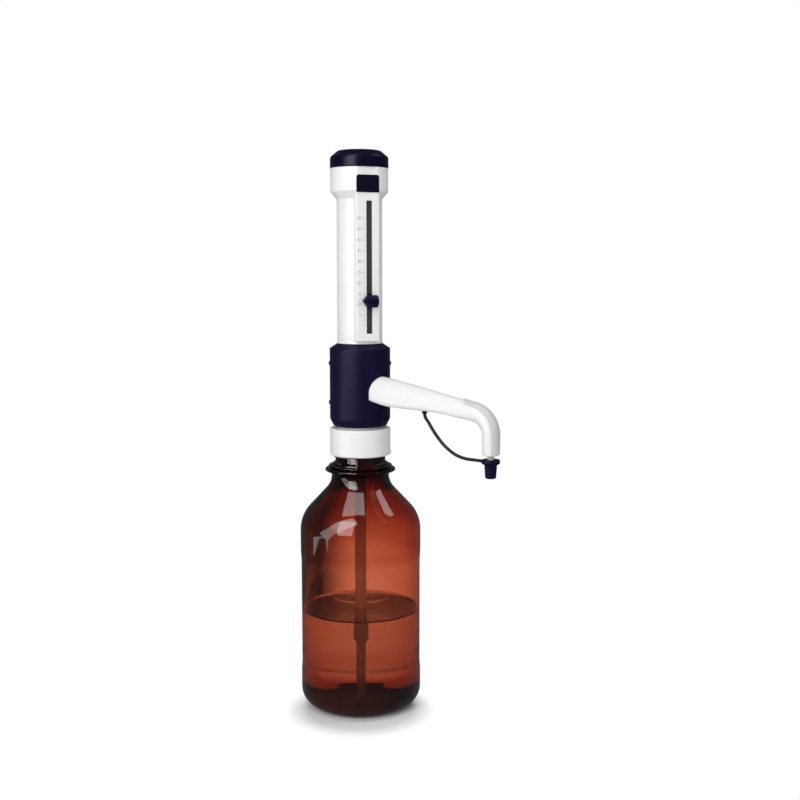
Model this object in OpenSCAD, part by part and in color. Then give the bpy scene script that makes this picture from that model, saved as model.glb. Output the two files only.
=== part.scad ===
// Bottle-top dispenser standing on its reservoir bottle, in millimetres.
// The bottle's axis is Z with its flat base at z = 0, and the discharge arm points along +X.

/* [Bottle] */
// Radius of the bottle's straight wall
bottle_r = 50.5; // [46:0.5:56]
// Height at which the shoulder starts
body_h = 150.2; // [130:1:170]
// Thickness of the glass
glass_wall = 2.6; // [2:0.1:4]
// Depth of the band round the wall that is set in for a label
label_recess = 0.55; // [0.2:0.05:1]
// Rounding where the wall meets the base
base_corner_r = 14.5; // [8:0.5:20]
// Rounding at the top of the wall
shoulder_r = 29.5; // [22:0.5:34]
// Steepest lean of the shoulder from upright
shoulder_lean = 43; // [35:1:50]
// Radius of the neck below the drip ring
neck_r = 24; // [23:0.1:26]
// Rounding where the shoulder meets the neck
neck_blend_r = 16; // [10:0.5:20]
// Radius of the drip ring
drip_ring_r = 29.4; // [27:0.1:32]
// Height from the drip ring's foot to the mouth
finish_h = 26.6; // [25.5:0.1:30]
// Radius of the screw thread's crest on the neck
thread_r = 22.3; // [22:0.05:22.5]
// Radius of the neck between the thread's turns
thread_root_r = 20.9; // [20.6:0.05:21.1]
// Rise of the thread in one turn
thread_pitch = 4; // [3.6:0.1:4.4]
// Radius of the bottle's mouth
mouth_r = 15.2; // [15.1:0.05:15.8]

/* [Collar and swivel] */
// Outer radius of the adapter collar
collar_r = 25.2; // [24.8:0.1:28]
// Height of the adapter collar
collar_h = 22.8; // [21:0.1:25]
// How far the collar reaches below the bottle's mouth
collar_drop = 10.4; // [9:0.1:12]
// Thickness of the gasket on the mouth
gasket_h = 1.5; // [1:0.1:2]
// Outer radius of the swivel's hub
hub_r = 19; // [17.5:0.1:19.2]
// Radius of the valve block's spigot in the hub
spigot_r = 12; // [11:0.1:12.5]

/* [Valve housing] */
// Outer radius of the valve housing
housing_r = 25.1; // [24.8:0.1:28]
// Height of the valve housing
housing_h = 68.4; // [67.5:0.1:72]
// Thickness of the housing's wall
housing_wall = 2.4; // [1.8:0.1:2.8]
// Radius of the valve block's body
block_r = 16.5; // [16:0.1:17]
// Radius of the suction valve's ball
suction_ball_r = 3.2; // [3:0.1:3.4]
// Radius of the discharge valve's ball
discharge_ball_r = 2.5; // [2.3:0.1:2.7]
// Lift of each valve ball
ball_lift = 1.2; // [0.8:0.1:1.5]

/* [Measuring cylinder] */
// Radius of the glass barrel's bore
bore_r = 13.6; // [13:0.1:13.8]
// Thickness of the glass barrel
barrel_wall = 1.6; // [1.2:0.1:1.6]
// Full stroke of the piston
stroke = 86; // [70:1:100]
// Height of the piston
piston_h = 12.7; // [11:0.1:15]
// Radius of the piston rod
rod_r = 4; // [3:0.1:5]
// Thickness of the guard tube around the barrel
guard_wall = 1; // [0.8:0.1:1.1]
// Thickness of the flange that the guard tube stands on
guard_flange_h = 2.5; // [2:0.1:3]

/* [Sleeve and head] */
// Outer radius of the lifting sleeve
sleeve_r = 18.6; // [18.5:0.1:20]
// Thickness of the lifting sleeve
sleeve_wall = 1.6; // [1.2:0.1:1.6]
// Distance from the axis to the scale panel's face
panel_d = 22; // [21.9:0.1:22.6]
// Width of the scale panel
panel_w = 20; // [19:0.5:22]
// Direction of the scale panel, seen from above
panel_angle = -30; // [-60:5:-30]
// Width of the pointer's slot
slot_w = 4.9; // [4.5:0.1:5.5]
// Offset of the slot from the panel's middle
slot_y = 1.3; // [0:0.1:2]
// Height of the pointer above the lower end of its travel
pointer_set = 19.7; // [5:0.1:60]
// Outer radius of the head
head_r = 23.6; // [23.5:0.1:26]
// Height of the head
head_h = 24.8; // [23.5:0.1:28]
// Outer radius of the top cap
cap_r = 23.9; // [23.5:0.1:26]
// Height of the top cap
cap_h = 14.7; // [12:0.1:18]

/* [Discharge arm] */
// Distance from the bottle's axis to the nozzle's axis
nozzle_x = 134; // [120:1:150]
// How far the nozzle's foot lies below the housing's foot
nozzle_fall = 12.14; // [11:0.02:14]
// Fall of the arm from level, in degrees
arm_slope = 5; // [3:0.5:6]
// Radius of the elbow's middle line
elbow_r = 18; // [15:0.5:20]
// Outer radius of the discharge tube
discharge_tube_r = 3; // [2.5:0.1:3.3]
// Thickness of the arm's shell
arm_wall = 1.8; // [1.4:0.1:2]
// Thickness of the hood over the elbow
hood_t = 0.9; // [0.6:0.1:1.4]

/* [Filling tube] */
// Height of the telescopic tube's lower end above the table
tube_foot_z = 7; // [6.6:0.1:12]
// Height of the upper tube's lower end above the table
upper_foot_z = 57; // [50:1:90]
// Outer radius of the upper filling tube
upper_tube_r = 4.75; // [4.6:0.05:5]
// Outer radius of the lower filling tube
lower_tube_r = 3; // [2.6:0.1:3.1]

/* [Hidden] */

// Small sizes that many pieces share
fit = 0.05;           // radial clearance of a running fit
play = 0.2;           // clearance between pieces that only pass each other
eps = 0.01;           // overlap that keeps a cut clean
seg = 96;             // facets of a full round
fine = 32;            // facets of a rounded corner

// Heights of the bottle, from its base up
shoulder_top_r = bottle_r - shoulder_r * (1 - cos(shoulder_lean));
shoulder_top_z = body_h + shoulder_r * sin(shoulder_lean);
blend_foot_r = neck_r + neck_blend_r * (1 - cos(shoulder_lean));
blend_foot_z = shoulder_top_z + (shoulder_top_r - blend_foot_r) / tan(shoulder_lean);
neck_z = blend_foot_z + neck_blend_r * sin(shoulder_lean);
mouth_z = neck_z + 0.9 + finish_h;
drip_ring_h = 8.5;
floor_h = 4;
label_low = 34;
label_high = body_h - 22;

// Thread sizes: the collar's ridge lies half a turn's rise from the bottle's
ridge_w = 2.2;
ridge_top_w = 1;
bottle_thread_z = mouth_z - 12.6;
bottle_thread_turns = 2;
collar_bore_r = thread_r + 0.45;
collar_ridge_r = thread_root_r + 0.4;
collar_thread_turns = 1.25;

// Heights of the collar and the swivel
collar_z = mouth_z - collar_drop;
collar_top = collar_z + collar_h;
hub_z = mouth_z + gasket_h;
flange_h = 4.6;
hub_top = collar_top + 6.6;
lip_r = hub_r + 0.4;
retainer_r = mouth_r - 0.4;

// Heights inside the valve housing
housing_z = collar_top + 1.7;
housing_top = housing_z + housing_h;
block_z = hub_top + 0.1;
rim_z = housing_top - 23.5;
rim_h = 8;
rim_top = rim_z + rim_h;
cylinder_z = rim_top - 0.7;
spigot_z = mouth_z - 5;
chamber_z = block_z;
chamber_r = suction_ball_r + 0.8;
seat_h = 5;
seat_r = suction_ball_r * 0.75;
suction_ball_z = chamber_z + sqrt(pow(suction_ball_r, 2) - pow(seat_r, 2)) + 0.08;
channel_r = 2.2;
block_flange_r = housing_r - housing_wall - play;

// Discharge valve, which stands in a pocket at the front of the valve block
valve_x = block_r - 2.5;
valve_r = 4.8;
valve_z = housing_z + 18;
valve_h = 22;
valve_bore_r = discharge_ball_r + 0.7;
valve_seat_z = valve_z + 6;
valve_seat_r = discharge_ball_r * 0.75;
discharge_ball_z = valve_seat_z + sqrt(pow(discharge_ball_r, 2) - pow(valve_seat_r, 2)) + 0.08;

// Measuring cylinder
barrel_r = bore_r + barrel_wall;
barrel_foot = rim_top - 3.5;
barrel_gasket_h = 1.5;
barrel_top = cylinder_z + piston_h + stroke + 3.5;
guard_r = sleeve_r - sleeve_wall - 0.4;
guard_top = barrel_top + 20;
guide_h = 5;
clamp_h = 7.5;

// Sleeve, head and cap
sleeve_z = housing_top + 0.3;
sleeve_top = guard_top + 11.8;
head_top = sleeve_top + head_h;
head_chamfer_h = 5.8;
head_wall = 2.2;
head_floor_h = 4;
panel_z = sleeve_z + 2.4;
channel_back = panel_d - 4.1;
channel_front = panel_d - 1.3;
strip_t = 0.8;
strip_w = 6;
slot_z = panel_z + 6.2;
slot_top = sleeve_top - 2.1;
carriage_h = 12;
carriage_w = 10;
travel_low = slot_z + 6.6;
pointer_z = travel_low + pointer_set;
knob_gap = 1.4;
knob_t = 5.6;
press_travel = 1.2;
pin_r = 1.5;

// Discharge line: it falls from the housing, turns through the elbow and drops to the nozzle
arm_x0 = housing_r - housing_wall - 3.5;
nozzle_z = housing_z - nozzle_fall;
elbow_z = nozzle_z + 15;
elbow_x = nozzle_x - elbow_r;
line_x1 = elbow_x + elbow_r * sin(arm_slope);
line_z1 = elbow_z + elbow_r * cos(arm_slope);
line_len = (line_x1 - arm_x0) / cos(arm_slope);
elbow_len = elbow_r * (90 - arm_slope) * PI / 180;
drop_len = elbow_z - nozzle_z;
arm_len = line_len + elbow_len + drop_len;
function line_z(x) = line_z1 + (line_x1 - x) * tan(arm_slope);
outlet_z = line_z(valve_x + valve_r);

// Arch in the housing that the arm comes out of
arch_r = 13.2;
arch_leg = 7.5;
arch_z = line_z(housing_r) + 0.6;
arch_foot = arch_z - arch_leg;

// Half width, outer rise and inner rise of the arm's section, by distance along the line
arm_half_width = [[0, 13], [5, 13], [15, 12.3], [50, 9.6], [line_len - 33, 8.5], [line_len - 9, 7.2],
    [line_len, 6.8], [line_len + elbow_len / 2, 6.8], [line_len + elbow_len, 6.8], [arm_len, 6.3]];
arm_outer_rise = [[0, 13.1], [5, 13.1], [15, 12.6], [50, 10.4], [line_len - 33, 8.9], [line_len - 9, 7.2],
    [line_len, 6.4], [line_len + elbow_len / 2, 6], [line_len + elbow_len, 6], [arm_len, 5.8]];
arm_inner_rise = [[0, 7], [5, 7.1], [15, 9.2], [50, 7.2], [line_len - 33, 6], [line_len - 9, 6.9],
    [line_len, 7.4], [line_len + elbow_len / 2, 7.2], [line_len + elbow_len, 7.2], [arm_len, 6.6]];
arm_square = [[0, 0.85], [line_len - 20, 0.5], [line_len + elbow_len / 2, 0], [arm_len, 0]];
section_steps = 32;

// Nozzle, cap and tether
tip_collar_r = 4.6;
tip_r = 2.6;
nozzle_cap_top = nozzle_z - 3;
nozzle_cap_flange_r = 7.1;
nozzle_cap_flange_h = 4.2;
nozzle_cap_r = 4.4;
nozzle_cap_h = 15;
tether_r = 1.3;
tether_x = 69;
tether_end_x = nozzle_x - nozzle_cap_flange_r - 0.3;
// Share of the way to the cap, and height above the nozzle's foot
tether_route = [[0, 27], [0.017, 24], [0.07, 20.5], [0.137, 15.5], [0.223, 10], [0.325, 4.5], [0.428, 0.5],
    [0.53, -2.5], [0.634, -4.2], [0.737, -5], [0.84, -5], [0.925, -5], [1, -5]];
tether_points = [for (p = tether_route) [tether_x + (tether_end_x - tether_x) * p[0], 0, nozzle_z + p[1]]];

// Points of an arc, for outlines
function arc(cx, cz, r, a0, a1, n = 10) =
    [for (i = [0:n]) let (a = a0 + (a1 - a0) * i / n) [cx + r * cos(a), cz + r * sin(a)]];

// Closed surface through rings that all have the same number of points.
// A ring is a loop there and back, so its end is closed by a strip between its two halves.
module loft(rings) {
    n = len(rings[0]);
    m = len(rings);
    base = (m - 1) * n;
    sides = [for (j = [0:m - 2]) for (i = [0:n - 1]) let (k = (i + 1) % n)
        each [[j * n + i, (j + 1) * n + i, (j + 1) * n + k], [j * n + i, (j + 1) * n + k, j * n + k]]];
    first = [for (i = [0:n / 2 - 2]) each [[i, i + 1, n - 2 - i], [i, n - 2 - i, n - 1 - i]]];
    last = [for (face = first) [base + face[2], base + face[1], base + face[0]]];
    polyhedron([for (ring = rings) each ring], concat(first, sides, last), convexity = 6);
}

// Open-ended shell between outer rings and the inner rings that match them
module loft_shell(outer, inner) {
    n = len(outer[0]);
    m = len(outer);
    walls = [for (j = [0:m - 2]) for (i = [0:n - 1]) let (k = (i + 1) % n, a = j * n, b = (j + 1) * n, c = m * n)
        each [[a + i, b + i, b + k], [a + i, b + k, a + k],
            [c + a + i, c + b + k, c + b + i], [c + a + i, c + a + k, c + b + k]]];
    ends = [for (i = [0:n - 1]) let (k = (i + 1) % n, b = (m - 1) * n, c = m * n)
        each [[i, k, c + k], [i, c + k, c + i], [b + i, c + b + k, b + k], [b + i, c + b + i, c + b + k]]];
    polyhedron(concat([for (ring = outer) each ring], [for (ring = inner) each ring]), concat(walls, ends),
        convexity = 8);
}

// Helical ridge around Z: foot radius, crest radius, widths, start height and turns
module helix_ridge(foot_r, crest_r, foot_w, crest_w, z0, turns) {
    steps_per_turn = 36;
    steps = round(turns * steps_per_turn);
    loft([for (i = [0:steps])
        let (a = 360 * i / steps_per_turn,
            z = z0 + thread_pitch * i / steps_per_turn,
            fade = min(1, min(i, steps - i) / 4 + 0.1),
            crest = foot_r + (crest_r - foot_r) * fade)
        [[foot_r * cos(a), foot_r * sin(a), z - foot_w / 2],
            [crest * cos(a), crest * sin(a), z - crest_w / 2],
            [crest * cos(a), crest * sin(a), z + crest_w / 2],
            [foot_r * cos(a), foot_r * sin(a), z + foot_w / 2]]]);
}

// Upright ring or tube
module tube(outer, inner, z0, z1) {
    rotate_extrude($fn = seg)
        translate([inner, z0])
            square([outer - inner, z1 - z0]);
}

module rod(r, z0, z1, sides = seg) {
    translate([0, 0, z0]) cylinder(r = r, h = z1 - z0, $fn = sides);
}

// Places children in the panel's frame: X out of the panel, Y to its right
module on_panel() {
    rotate([0, 0, panel_angle]) children();
}

// The discharge line and its section
function line_point(t) =
    t <= line_len ? [arm_x0 + t * cos(arm_slope), line_z(arm_x0 + t * cos(arm_slope))] :
    t <= line_len + elbow_len ?
        let (a = arm_slope + (t - line_len) / elbow_r * 180 / PI) [elbow_x + elbow_r * sin(a), elbow_z + elbow_r * cos(a)] :
    [nozzle_x, elbow_z - (t - line_len - elbow_len)];
function line_lean(t) = min(90, arm_slope + max(0, t - line_len) / elbow_r * 180 / PI);

// Point of the section at angle a from its outer side, grown outwards by d
function section_point(t, a, d) =
    let (p = line_point(t), lean = line_lean(t),
        w = lookup(t, arm_half_width) + d,
        rise = (cos(a) >= 0 ? lookup(t, arm_outer_rise) : lookup(t, arm_inner_rise)) + d,
        q = cos(a) >= 0 ? 0 : lookup(t, arm_square),
        k = 1 / pow(pow(abs(cos(a)), 2 + 6 * q) + pow(abs(sin(a)), 2 + 6 * q), 1 / (2 + 6 * q)),
        up = rise * k * cos(a))
    [p[0] + up * sin(lean), w * k * sin(a), p[1] + up * cos(lean)];
function section_ring(t, d) = [for (i = [0:section_steps - 1]) section_point(t, 360 * i / section_steps, d)];

// Distances along the line at which the arm and its hood are drawn
hood_tongue = 12;
hood_start = line_len - 10;
tongue_stops = [for (share = [0, 0.05, 0.13, 0.27, 0.5, 0.75, 1]) hood_start + hood_tongue * share];
elbow_stops = [for (i = [1:8]) line_len + elbow_len * i / 8];
arm_stops = concat([0, 5, 15, 32, 50, line_len - 33, line_len - 20], tongue_stops, elbow_stops,
    [arm_len - 8, arm_len]);

module bottle_outline() {
    polygon(concat(
        [[0, 0]],
        arc(bottle_r - base_corner_r, base_corner_r, base_corner_r, -90, 0),
        [[bottle_r, label_low - 1], [bottle_r - label_recess, label_low + 1], [bottle_r - label_recess, label_high - 1],
            [bottle_r, label_high + 1]],
        arc(bottle_r - shoulder_r, body_h, shoulder_r, 0, shoulder_lean),
        arc(neck_r + neck_blend_r, neck_z, neck_blend_r, 180 + shoulder_lean, 180),
        [[neck_r, neck_z + 0.9], [drip_ring_r - 1, neck_z + 3.4], [drip_ring_r, neck_z + 4.2],
            [drip_ring_r, neck_z + 5.2], [drip_ring_r - 1, neck_z + 6], [drip_ring_r - 4.2, neck_z + 6.4],
            [drip_ring_r - 4.2, neck_z + 7], [drip_ring_r - 3, neck_z + 7.6], [drip_ring_r - 3, neck_z + drip_ring_h],
            [thread_root_r + 2.4, neck_z + drip_ring_h + 0.6],
            [thread_root_r + 2.4, neck_z + drip_ring_h + 1.6], [thread_root_r, neck_z + drip_ring_h + 2.8]],
        arc(thread_root_r - 1.5, mouth_z - 1.5, 1.5, 0, 90, 5),
        [[mouth_r, mouth_z]],
        [[mouth_r, neck_z + 8]],
        arc(neck_r - glass_wall + neck_blend_r + glass_wall, neck_z, neck_blend_r + glass_wall, 180, 180 + shoulder_lean),
        arc(bottle_r - shoulder_r, body_h, shoulder_r - glass_wall, shoulder_lean, 0),
        arc(bottle_r - base_corner_r, base_corner_r + 1, base_corner_r - glass_wall, 0, -90 + 15),
        [[(bottle_r - base_corner_r) * 0.7, floor_h], [0, floor_h + 0.6]]));
}

module bottle() {
    color([0.5, 0.16, 0.1, 0.75]) {
        rotate_extrude($fn = seg) bottle_outline();
        helix_ridge(thread_root_r - 0.3, thread_r, ridge_w, ridge_top_w, bottle_thread_z, bottle_thread_turns);
    }
}

module mouth_gasket() {
    color([0.1, 0.1, 0.1]) tube(thread_root_r - 0.6, mouth_r + 0.4, mouth_z, hub_z);
}

module swivel_hub() {
    color([0.9, 0.9, 0.88])
        difference() {
            union() {
                rod(collar_bore_r - 0.4, hub_z, hub_z + flange_h);
                rod(hub_r, hub_z + flange_h - eps, hub_top);
            }
            rod(spigot_r + fit, hub_z - 1, hub_top + 1);
        }
}

module adapter_collar() {
    edge = 1.4;
    color([0.97, 0.97, 0.96])
        difference() {
            union() {
                rotate_extrude($fn = seg)
                    polygon(concat([[collar_bore_r, collar_z], [collar_r - 0.5, collar_z], [collar_r, collar_z + 0.5]],
                        arc(collar_r - edge, collar_top - edge, edge, 0, 90, 6),
                        [[lip_r, collar_top], [lip_r, hub_z + flange_h + 0.1], [collar_bore_r, hub_z + flange_h + 0.1]]));
                helix_ridge(collar_bore_r + 0.3, collar_ridge_r, ridge_w - 0.2, ridge_top_w - 0.1,
                    bottle_thread_z + thread_pitch * 1.5, collar_thread_turns);
            }
            rotate([0, 0, vent_angle]) translate([collar_bore_r - 1, 0, vent_z])
                rotate([0, 90, 0]) cylinder(r = vent_r, h = collar_r, $fn = fine);
        }
}

// Small plug that closes the collar's air vent
vent_angle = 28;
vent_r = 1.7;
vent_z = collar_z + 2.7;
module vent_plug() {
    color([0.93, 0.93, 0.91])
        rotate([0, 0, vent_angle]) {
            translate([collar_bore_r + 0.35, 0, vent_z])
                rotate([0, 90, 0]) cylinder(r = vent_r, h = collar_r - collar_bore_r, $fn = fine);
            translate([collar_r + 0.02, 0, vent_z])
                rotate([0, 90, 0]) cylinder(r1 = vent_r + 0.3, r2 = vent_r, h = 0.9, $fn = fine);
        }
}

module swivel_retainer() {
    color([0.85, 0.85, 0.83]) tube(retainer_r, spigot_r, hub_z - 0.1 - 4, hub_z - 0.1);
}

// Snap clips: tabs that show through windows in the housing, on short legs inside it
clip_angles = [40, 220];
clip_zs = [housing_z + 19.3, housing_z + 52];
clip_w = 5;
clip_h = 3;
clip_leg_h = 8;
module clip_notches() {
    for (a = clip_angles, z = clip_zs)
        rotate([0, 0, a])
            translate([housing_r - housing_wall - 1.8, -clip_w / 2 - 1.2, z - clip_leg_h / 2 - play])
                cube([3, clip_w + 2.4, clip_leg_h + 2 * play]);
}
module clip_bodies(d) {
    for (a = clip_angles, z = clip_zs)
        rotate([0, 0, a])
            translate([housing_r - housing_wall - 0.5, -clip_w / 2 - d, z - clip_h / 2 - d])
                cube([housing_wall + 1.3, clip_w + 2 * d, clip_h + 2 * d]);
}

module housing_clips() {
    leg_r = housing_r - housing_wall - 0.1;
    color([0.13, 0.12, 0.24])
        union() {
            clip_bodies(0);
            for (a = clip_angles, z = clip_zs)
                rotate([0, 0, a])
                    intersection() {
                        tube(leg_r, leg_r - 1.4, z - clip_leg_h / 2, z + clip_leg_h / 2);
                        translate([0, -clip_w / 2 - 1, z - clip_leg_h / 2])
                            cube([housing_r, clip_w + 2, clip_leg_h]);
                    }
        }
}

module valve_housing() {
    top_h = 3.9;
    foot_h = 5.9;
    inner = housing_r - housing_wall;
    top_r = sleeve_r + 0.4;
    hole_r = guard_r + 0.4;
    color([0.13, 0.12, 0.24])
        difference() {
            rotate_extrude($fn = seg)
                polygon([[hub_r + 0.3, housing_z], [housing_r - 3.1, housing_z], [housing_r, housing_z + foot_h],
                    [housing_r, housing_top - top_h], [top_r, housing_top], [hole_r, housing_top],
                    [hole_r, housing_top - 2], [inner, housing_top - top_h - 0.9], [inner, housing_z + foot_h - 0.6],
                    [inner - 2, housing_z + 2.4], [hub_r + 0.3, housing_z + 2.4]]);
            // arch for the arm
            translate([0, 0, arch_z]) rotate([0, 90, 0]) cylinder(r = arch_r, h = 2 * housing_r, $fn = seg);
            translate([0, -arch_r, arch_foot]) cube([2 * housing_r, 2 * arch_r, arch_z - arch_foot]);
            clip_bodies(0.05);
        }
}

module valve_block() {
    color([0.93, 0.93, 0.9])
        difference() {
            union() {
                rod(spigot_r, spigot_z, block_z + eps);
                rod(block_r, block_z, rim_z + eps);
                rod(block_flange_r, rim_z, rim_top);
            }
            // socket for the barrel, around the boss that closes its foot
            tube(barrel_r + 0.1, bore_r - 0.2, barrel_foot - barrel_gasket_h, rim_top + 1);
            rod(bore_r, cylinder_z, rim_top + 1);
            // suction path from the filling tube up to the cylinder
            rod(upper_tube_r + 0.02, spigot_z - 1, chamber_z - seat_h);
            rod(chamber_r, chamber_z - seat_h - eps, suction_ball_z + suction_ball_r + ball_lift + 0.5);
            rod(channel_r, chamber_z, rim_top + 1);
            // pocket of the discharge valve and the way to it
            translate([valve_x, 0, valve_z - 0.1]) cylinder(r = valve_r + 0.1, h = valve_h + 0.2, $fn = seg);
            translate([valve_x, -valve_r - 0.1, valve_z - 0.1]) cube([block_r, 2 * valve_r + 0.2, valve_h + 0.2]);
            translate([0, 0, valve_z + 3]) rotate([0, 90, 0]) cylinder(r = 1.5, h = valve_x, $fn = fine);
            clip_notches();
        }
}

module suction_seat() {
    color([0.95, 0.93, 0.88])
        difference() {
            rod(chamber_r, chamber_z - seat_h, chamber_z);
            rod(seat_r, chamber_z - seat_h - 1, chamber_z + 1);
        }
}

module suction_ball() {
    color([0.6, 0.1, 0.15]) translate([0, 0, suction_ball_z]) sphere(r = suction_ball_r, $fn = seg);
}

module discharge_valve() {
    color([0.9, 0.9, 0.88])
        difference() {
            translate([valve_x, 0, valve_z]) cylinder(r = valve_r, h = valve_h, $fn = seg);
            translate([valve_x, 0, valve_seat_z]) cylinder(r = valve_bore_r, h = valve_h, $fn = seg);
            translate([valve_x, 0, valve_z + 2]) cylinder(r = valve_seat_r, h = valve_h, $fn = seg);
            translate([0, 0, valve_z + 3]) rotate([0, 90, 0]) cylinder(r = 1.5, h = valve_x, $fn = fine);
            translate([valve_x, 0, outlet_z]) rotate([0, 90 + arm_slope, 0]) cylinder(r = 1.7, h = valve_r * 2, $fn = fine);
        }
}

module discharge_ball() {
    color([0.6, 0.1, 0.15]) translate([valve_x, 0, discharge_ball_z]) sphere(r = discharge_ball_r, $fn = seg);
}

module discharge_plug() {
    plug_z = outlet_z + 3;
    color([0.85, 0.85, 0.83])
        translate([valve_x, 0, plug_z]) cylinder(r = valve_bore_r, h = valve_z + valve_h - plug_z, $fn = seg);
}

module tube_nut() {
    color([0.85, 0.85, 0.83])
        difference() {
            rod(9, spigot_z - 6, spigot_z, 6);
            rod(upper_tube_r + 0.02, spigot_z - 7, spigot_z + 1);
        }
}

module filling_tube_upper() {
    color([0.85, 0.85, 0.82, 0.7]) tube(upper_tube_r, lower_tube_r + fit, upper_foot_z, chamber_z - seat_h);
}

module filling_tube_lower() {
    overlap = 62;
    foot_slant = 35;
    color([0.85, 0.85, 0.82, 0.7])
        difference() {
            rod(lower_tube_r, tube_foot_z, upper_foot_z + overlap);
            rod(lower_tube_r - 0.9, tube_foot_z - 1, upper_foot_z + overlap + 1);
            // the lower end is cut at a slant
            translate([0, 0, tube_foot_z + lower_tube_r * tan(foot_slant)]) rotate([0, -foot_slant, 0])
                translate([-20, -10, -20]) cube([40, 20, 20]);
        }
}

module barrel_gasket() {
    color([0.95, 0.95, 0.93]) tube(barrel_r, bore_r + 0.1, barrel_foot - barrel_gasket_h, barrel_foot);
}

module glass_barrel() {
    color([0.85, 0.9, 0.92, 0.4]) tube(barrel_r, bore_r, barrel_foot, barrel_top);
}

module guard_flange() {
    color([0.92, 0.92, 0.9])
        difference() {
            tube(block_flange_r, guard_r - guard_wall, rim_top, rim_top + guard_flange_h);
            clip_notches();
        }
}

module barrel_guard() {
    color([0.92, 0.92, 0.9]) tube(guard_r, guard_r - guard_wall, rim_top + guard_flange_h, guard_top);
}

module barrel_clamp_nut() {
    z0 = rim_top + guard_flange_h;
    color([0.2, 0.2, 0.22]) tube(block_flange_r - 1.6, guard_r + 0.1, z0, z0 + clamp_h);
}

module rod_guide() {
    color([0.9, 0.9, 0.88])
        difference() {
            union() {
                rod(guard_r - guard_wall - 0.1, barrel_top, barrel_top + guide_h);
            }
            rod(rod_r + fit, barrel_top - 1, barrel_top + guide_h + 1);
            for (a = [0:60:300])
                rotate([0, 0, a]) translate([9.5, 0, barrel_top - 1]) cylinder(r = 2, h = guide_h + 2, $fn = fine);
        }
}

module arm_shell() {
    // the shell thins at its foot, where it takes the nozzle's collar
    foot_wall = lookup(arm_len, arm_outer_rise) - tip_collar_r - 0.08;
    wall_at = [[0, arm_wall], [arm_len - drop_len, arm_wall], [arm_len - 8, foot_wall], [arm_len, foot_wall]];
    color([0.95, 0.95, 0.94])
        loft_shell([for (t = arm_stops) section_ring(t, 0)],
            [for (t = arm_stops) section_ring(t, -lookup(t, wall_at))]);
}

// Hood: a band over the outer side of the elbow, with a rounded tongue along the arm
hood_half = 50;
function hood_spread(t) = hood_half * sqrt(max(0.03, 1 - pow(max(0, 1 - (t - hood_start) / hood_tongue), 2)));
function hood_ring(t) = concat(
    [for (i = [-8:8]) section_point(t, hood_spread(t) * i / 8, hood_t)],
    [for (i = [8:-1:-8]) section_point(t, hood_spread(t) * i / 8, 0.04)]);
module nozzle_hood() {
    stops = concat(tongue_stops, elbow_stops, [arm_len - 8, arm_len - 0.8]);
    color([0.82, 0.82, 0.82]) loft([for (t = stops) hood_ring(t)]);
}

// Ring of the discharge tube at distance t along the line
function tube_ring(t, r) =
    let (p = line_point(t), lean = line_lean(t), sides = 16)
    [for (i = [0:sides - 1]) let (a = 360 * i / sides)
        [p[0] + r * cos(a) * sin(lean), r * sin(a), p[1] + r * cos(a) * cos(lean)]];
module discharge_tube() {
    start = (valve_x + valve_r + 0.1 - arm_x0) / cos(arm_slope);
    bore = discharge_tube_r - 1.1;
    stops = concat([start, line_len / 2], [for (i = [0:6]) line_len + elbow_len * i / 6], [arm_len - 7]);
    color([0.88, 0.9, 0.9, 0.6])
        loft_shell([for (t = stops) tube_ring(t, discharge_tube_r)], [for (t = stops) tube_ring(t, bore)]);
}

module rod_at(x, r, z0, z1) {
    translate([x, 0, z0]) cylinder(r = r, h = z1 - z0, $fn = seg);
}

module discharge_nut() {
    start = valve_x + valve_r + 0.6;
    color([0.85, 0.85, 0.83])
        translate([start, 0, line_z(start)]) rotate([0, 90 + arm_slope, 0])
            difference() {
                cylinder(r = 4.6, h = 6, $fn = 6);
                translate([0, 0, -1]) cylinder(r = discharge_tube_r + 0.02, h = 8, $fn = seg);
            }
}

module nozzle_tip() {
    bore = 1.5;
    color([0.9, 0.93, 0.95, 0.5])
        difference() {
            union() {
                rod_at(nozzle_x, tip_collar_r, nozzle_z, nozzle_z + 7);
                rod_at(nozzle_x, tip_r, nozzle_z - 15.2, nozzle_z + eps);
            }
            rod_at(nozzle_x, bore, nozzle_z - 16, nozzle_z + 8);
        }
}

module nozzle_cap() {
    color([0.13, 0.12, 0.22])
        translate([nozzle_x, 0, nozzle_cap_top])
            rotate_extrude($fn = seg)
                polygon(concat([[tip_r + 0.1, 0], [nozzle_cap_flange_r - 0.4, 0], [nozzle_cap_flange_r, -0.4],
                    [nozzle_cap_flange_r, -nozzle_cap_flange_h + 0.4],
                    [nozzle_cap_flange_r - 0.4, -nozzle_cap_flange_h], [nozzle_cap_r + 0.2, -nozzle_cap_flange_h]],
                    arc(nozzle_cap_r - 1.6, -nozzle_cap_h + 1.6, 1.4, 0, -90, 6),
                    [[0, -nozzle_cap_h + 0.2], [0, -nozzle_cap_h + 2.4], [tip_r + 0.1, -nozzle_cap_h + 2.4]]));
}

module tether() {
    ring_at = function (i)
        let (p = tether_points[i],
            before = tether_points[max(0, i - 1)],
            after = tether_points[min(len(tether_points) - 1, i + 1)],
            d = after - before,
            lean = i == 0 ? -90 : atan2(d[2], d[0]))
        [for (k = [0:7]) let (a = 45 * k)
            [p[0] - tether_r * cos(a) * sin(lean), tether_r * sin(a), p[2] + tether_r * cos(a) * cos(lean)]];
    color([0.06, 0.06, 0.06]) loft([for (i = [0:len(tether_points) - 1]) ring_at(i)]);
}

module tether_anchor() {
    floor_z = line_z(tether_x) - lookup((tether_x - arm_x0) / cos(arm_slope), arm_inner_rise);
    color([0.06, 0.06, 0.06]) {
        rod_at(tether_x, tether_r + 0.9, tether_points[0][2], floor_z - 0.1);
    }
}

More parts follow.
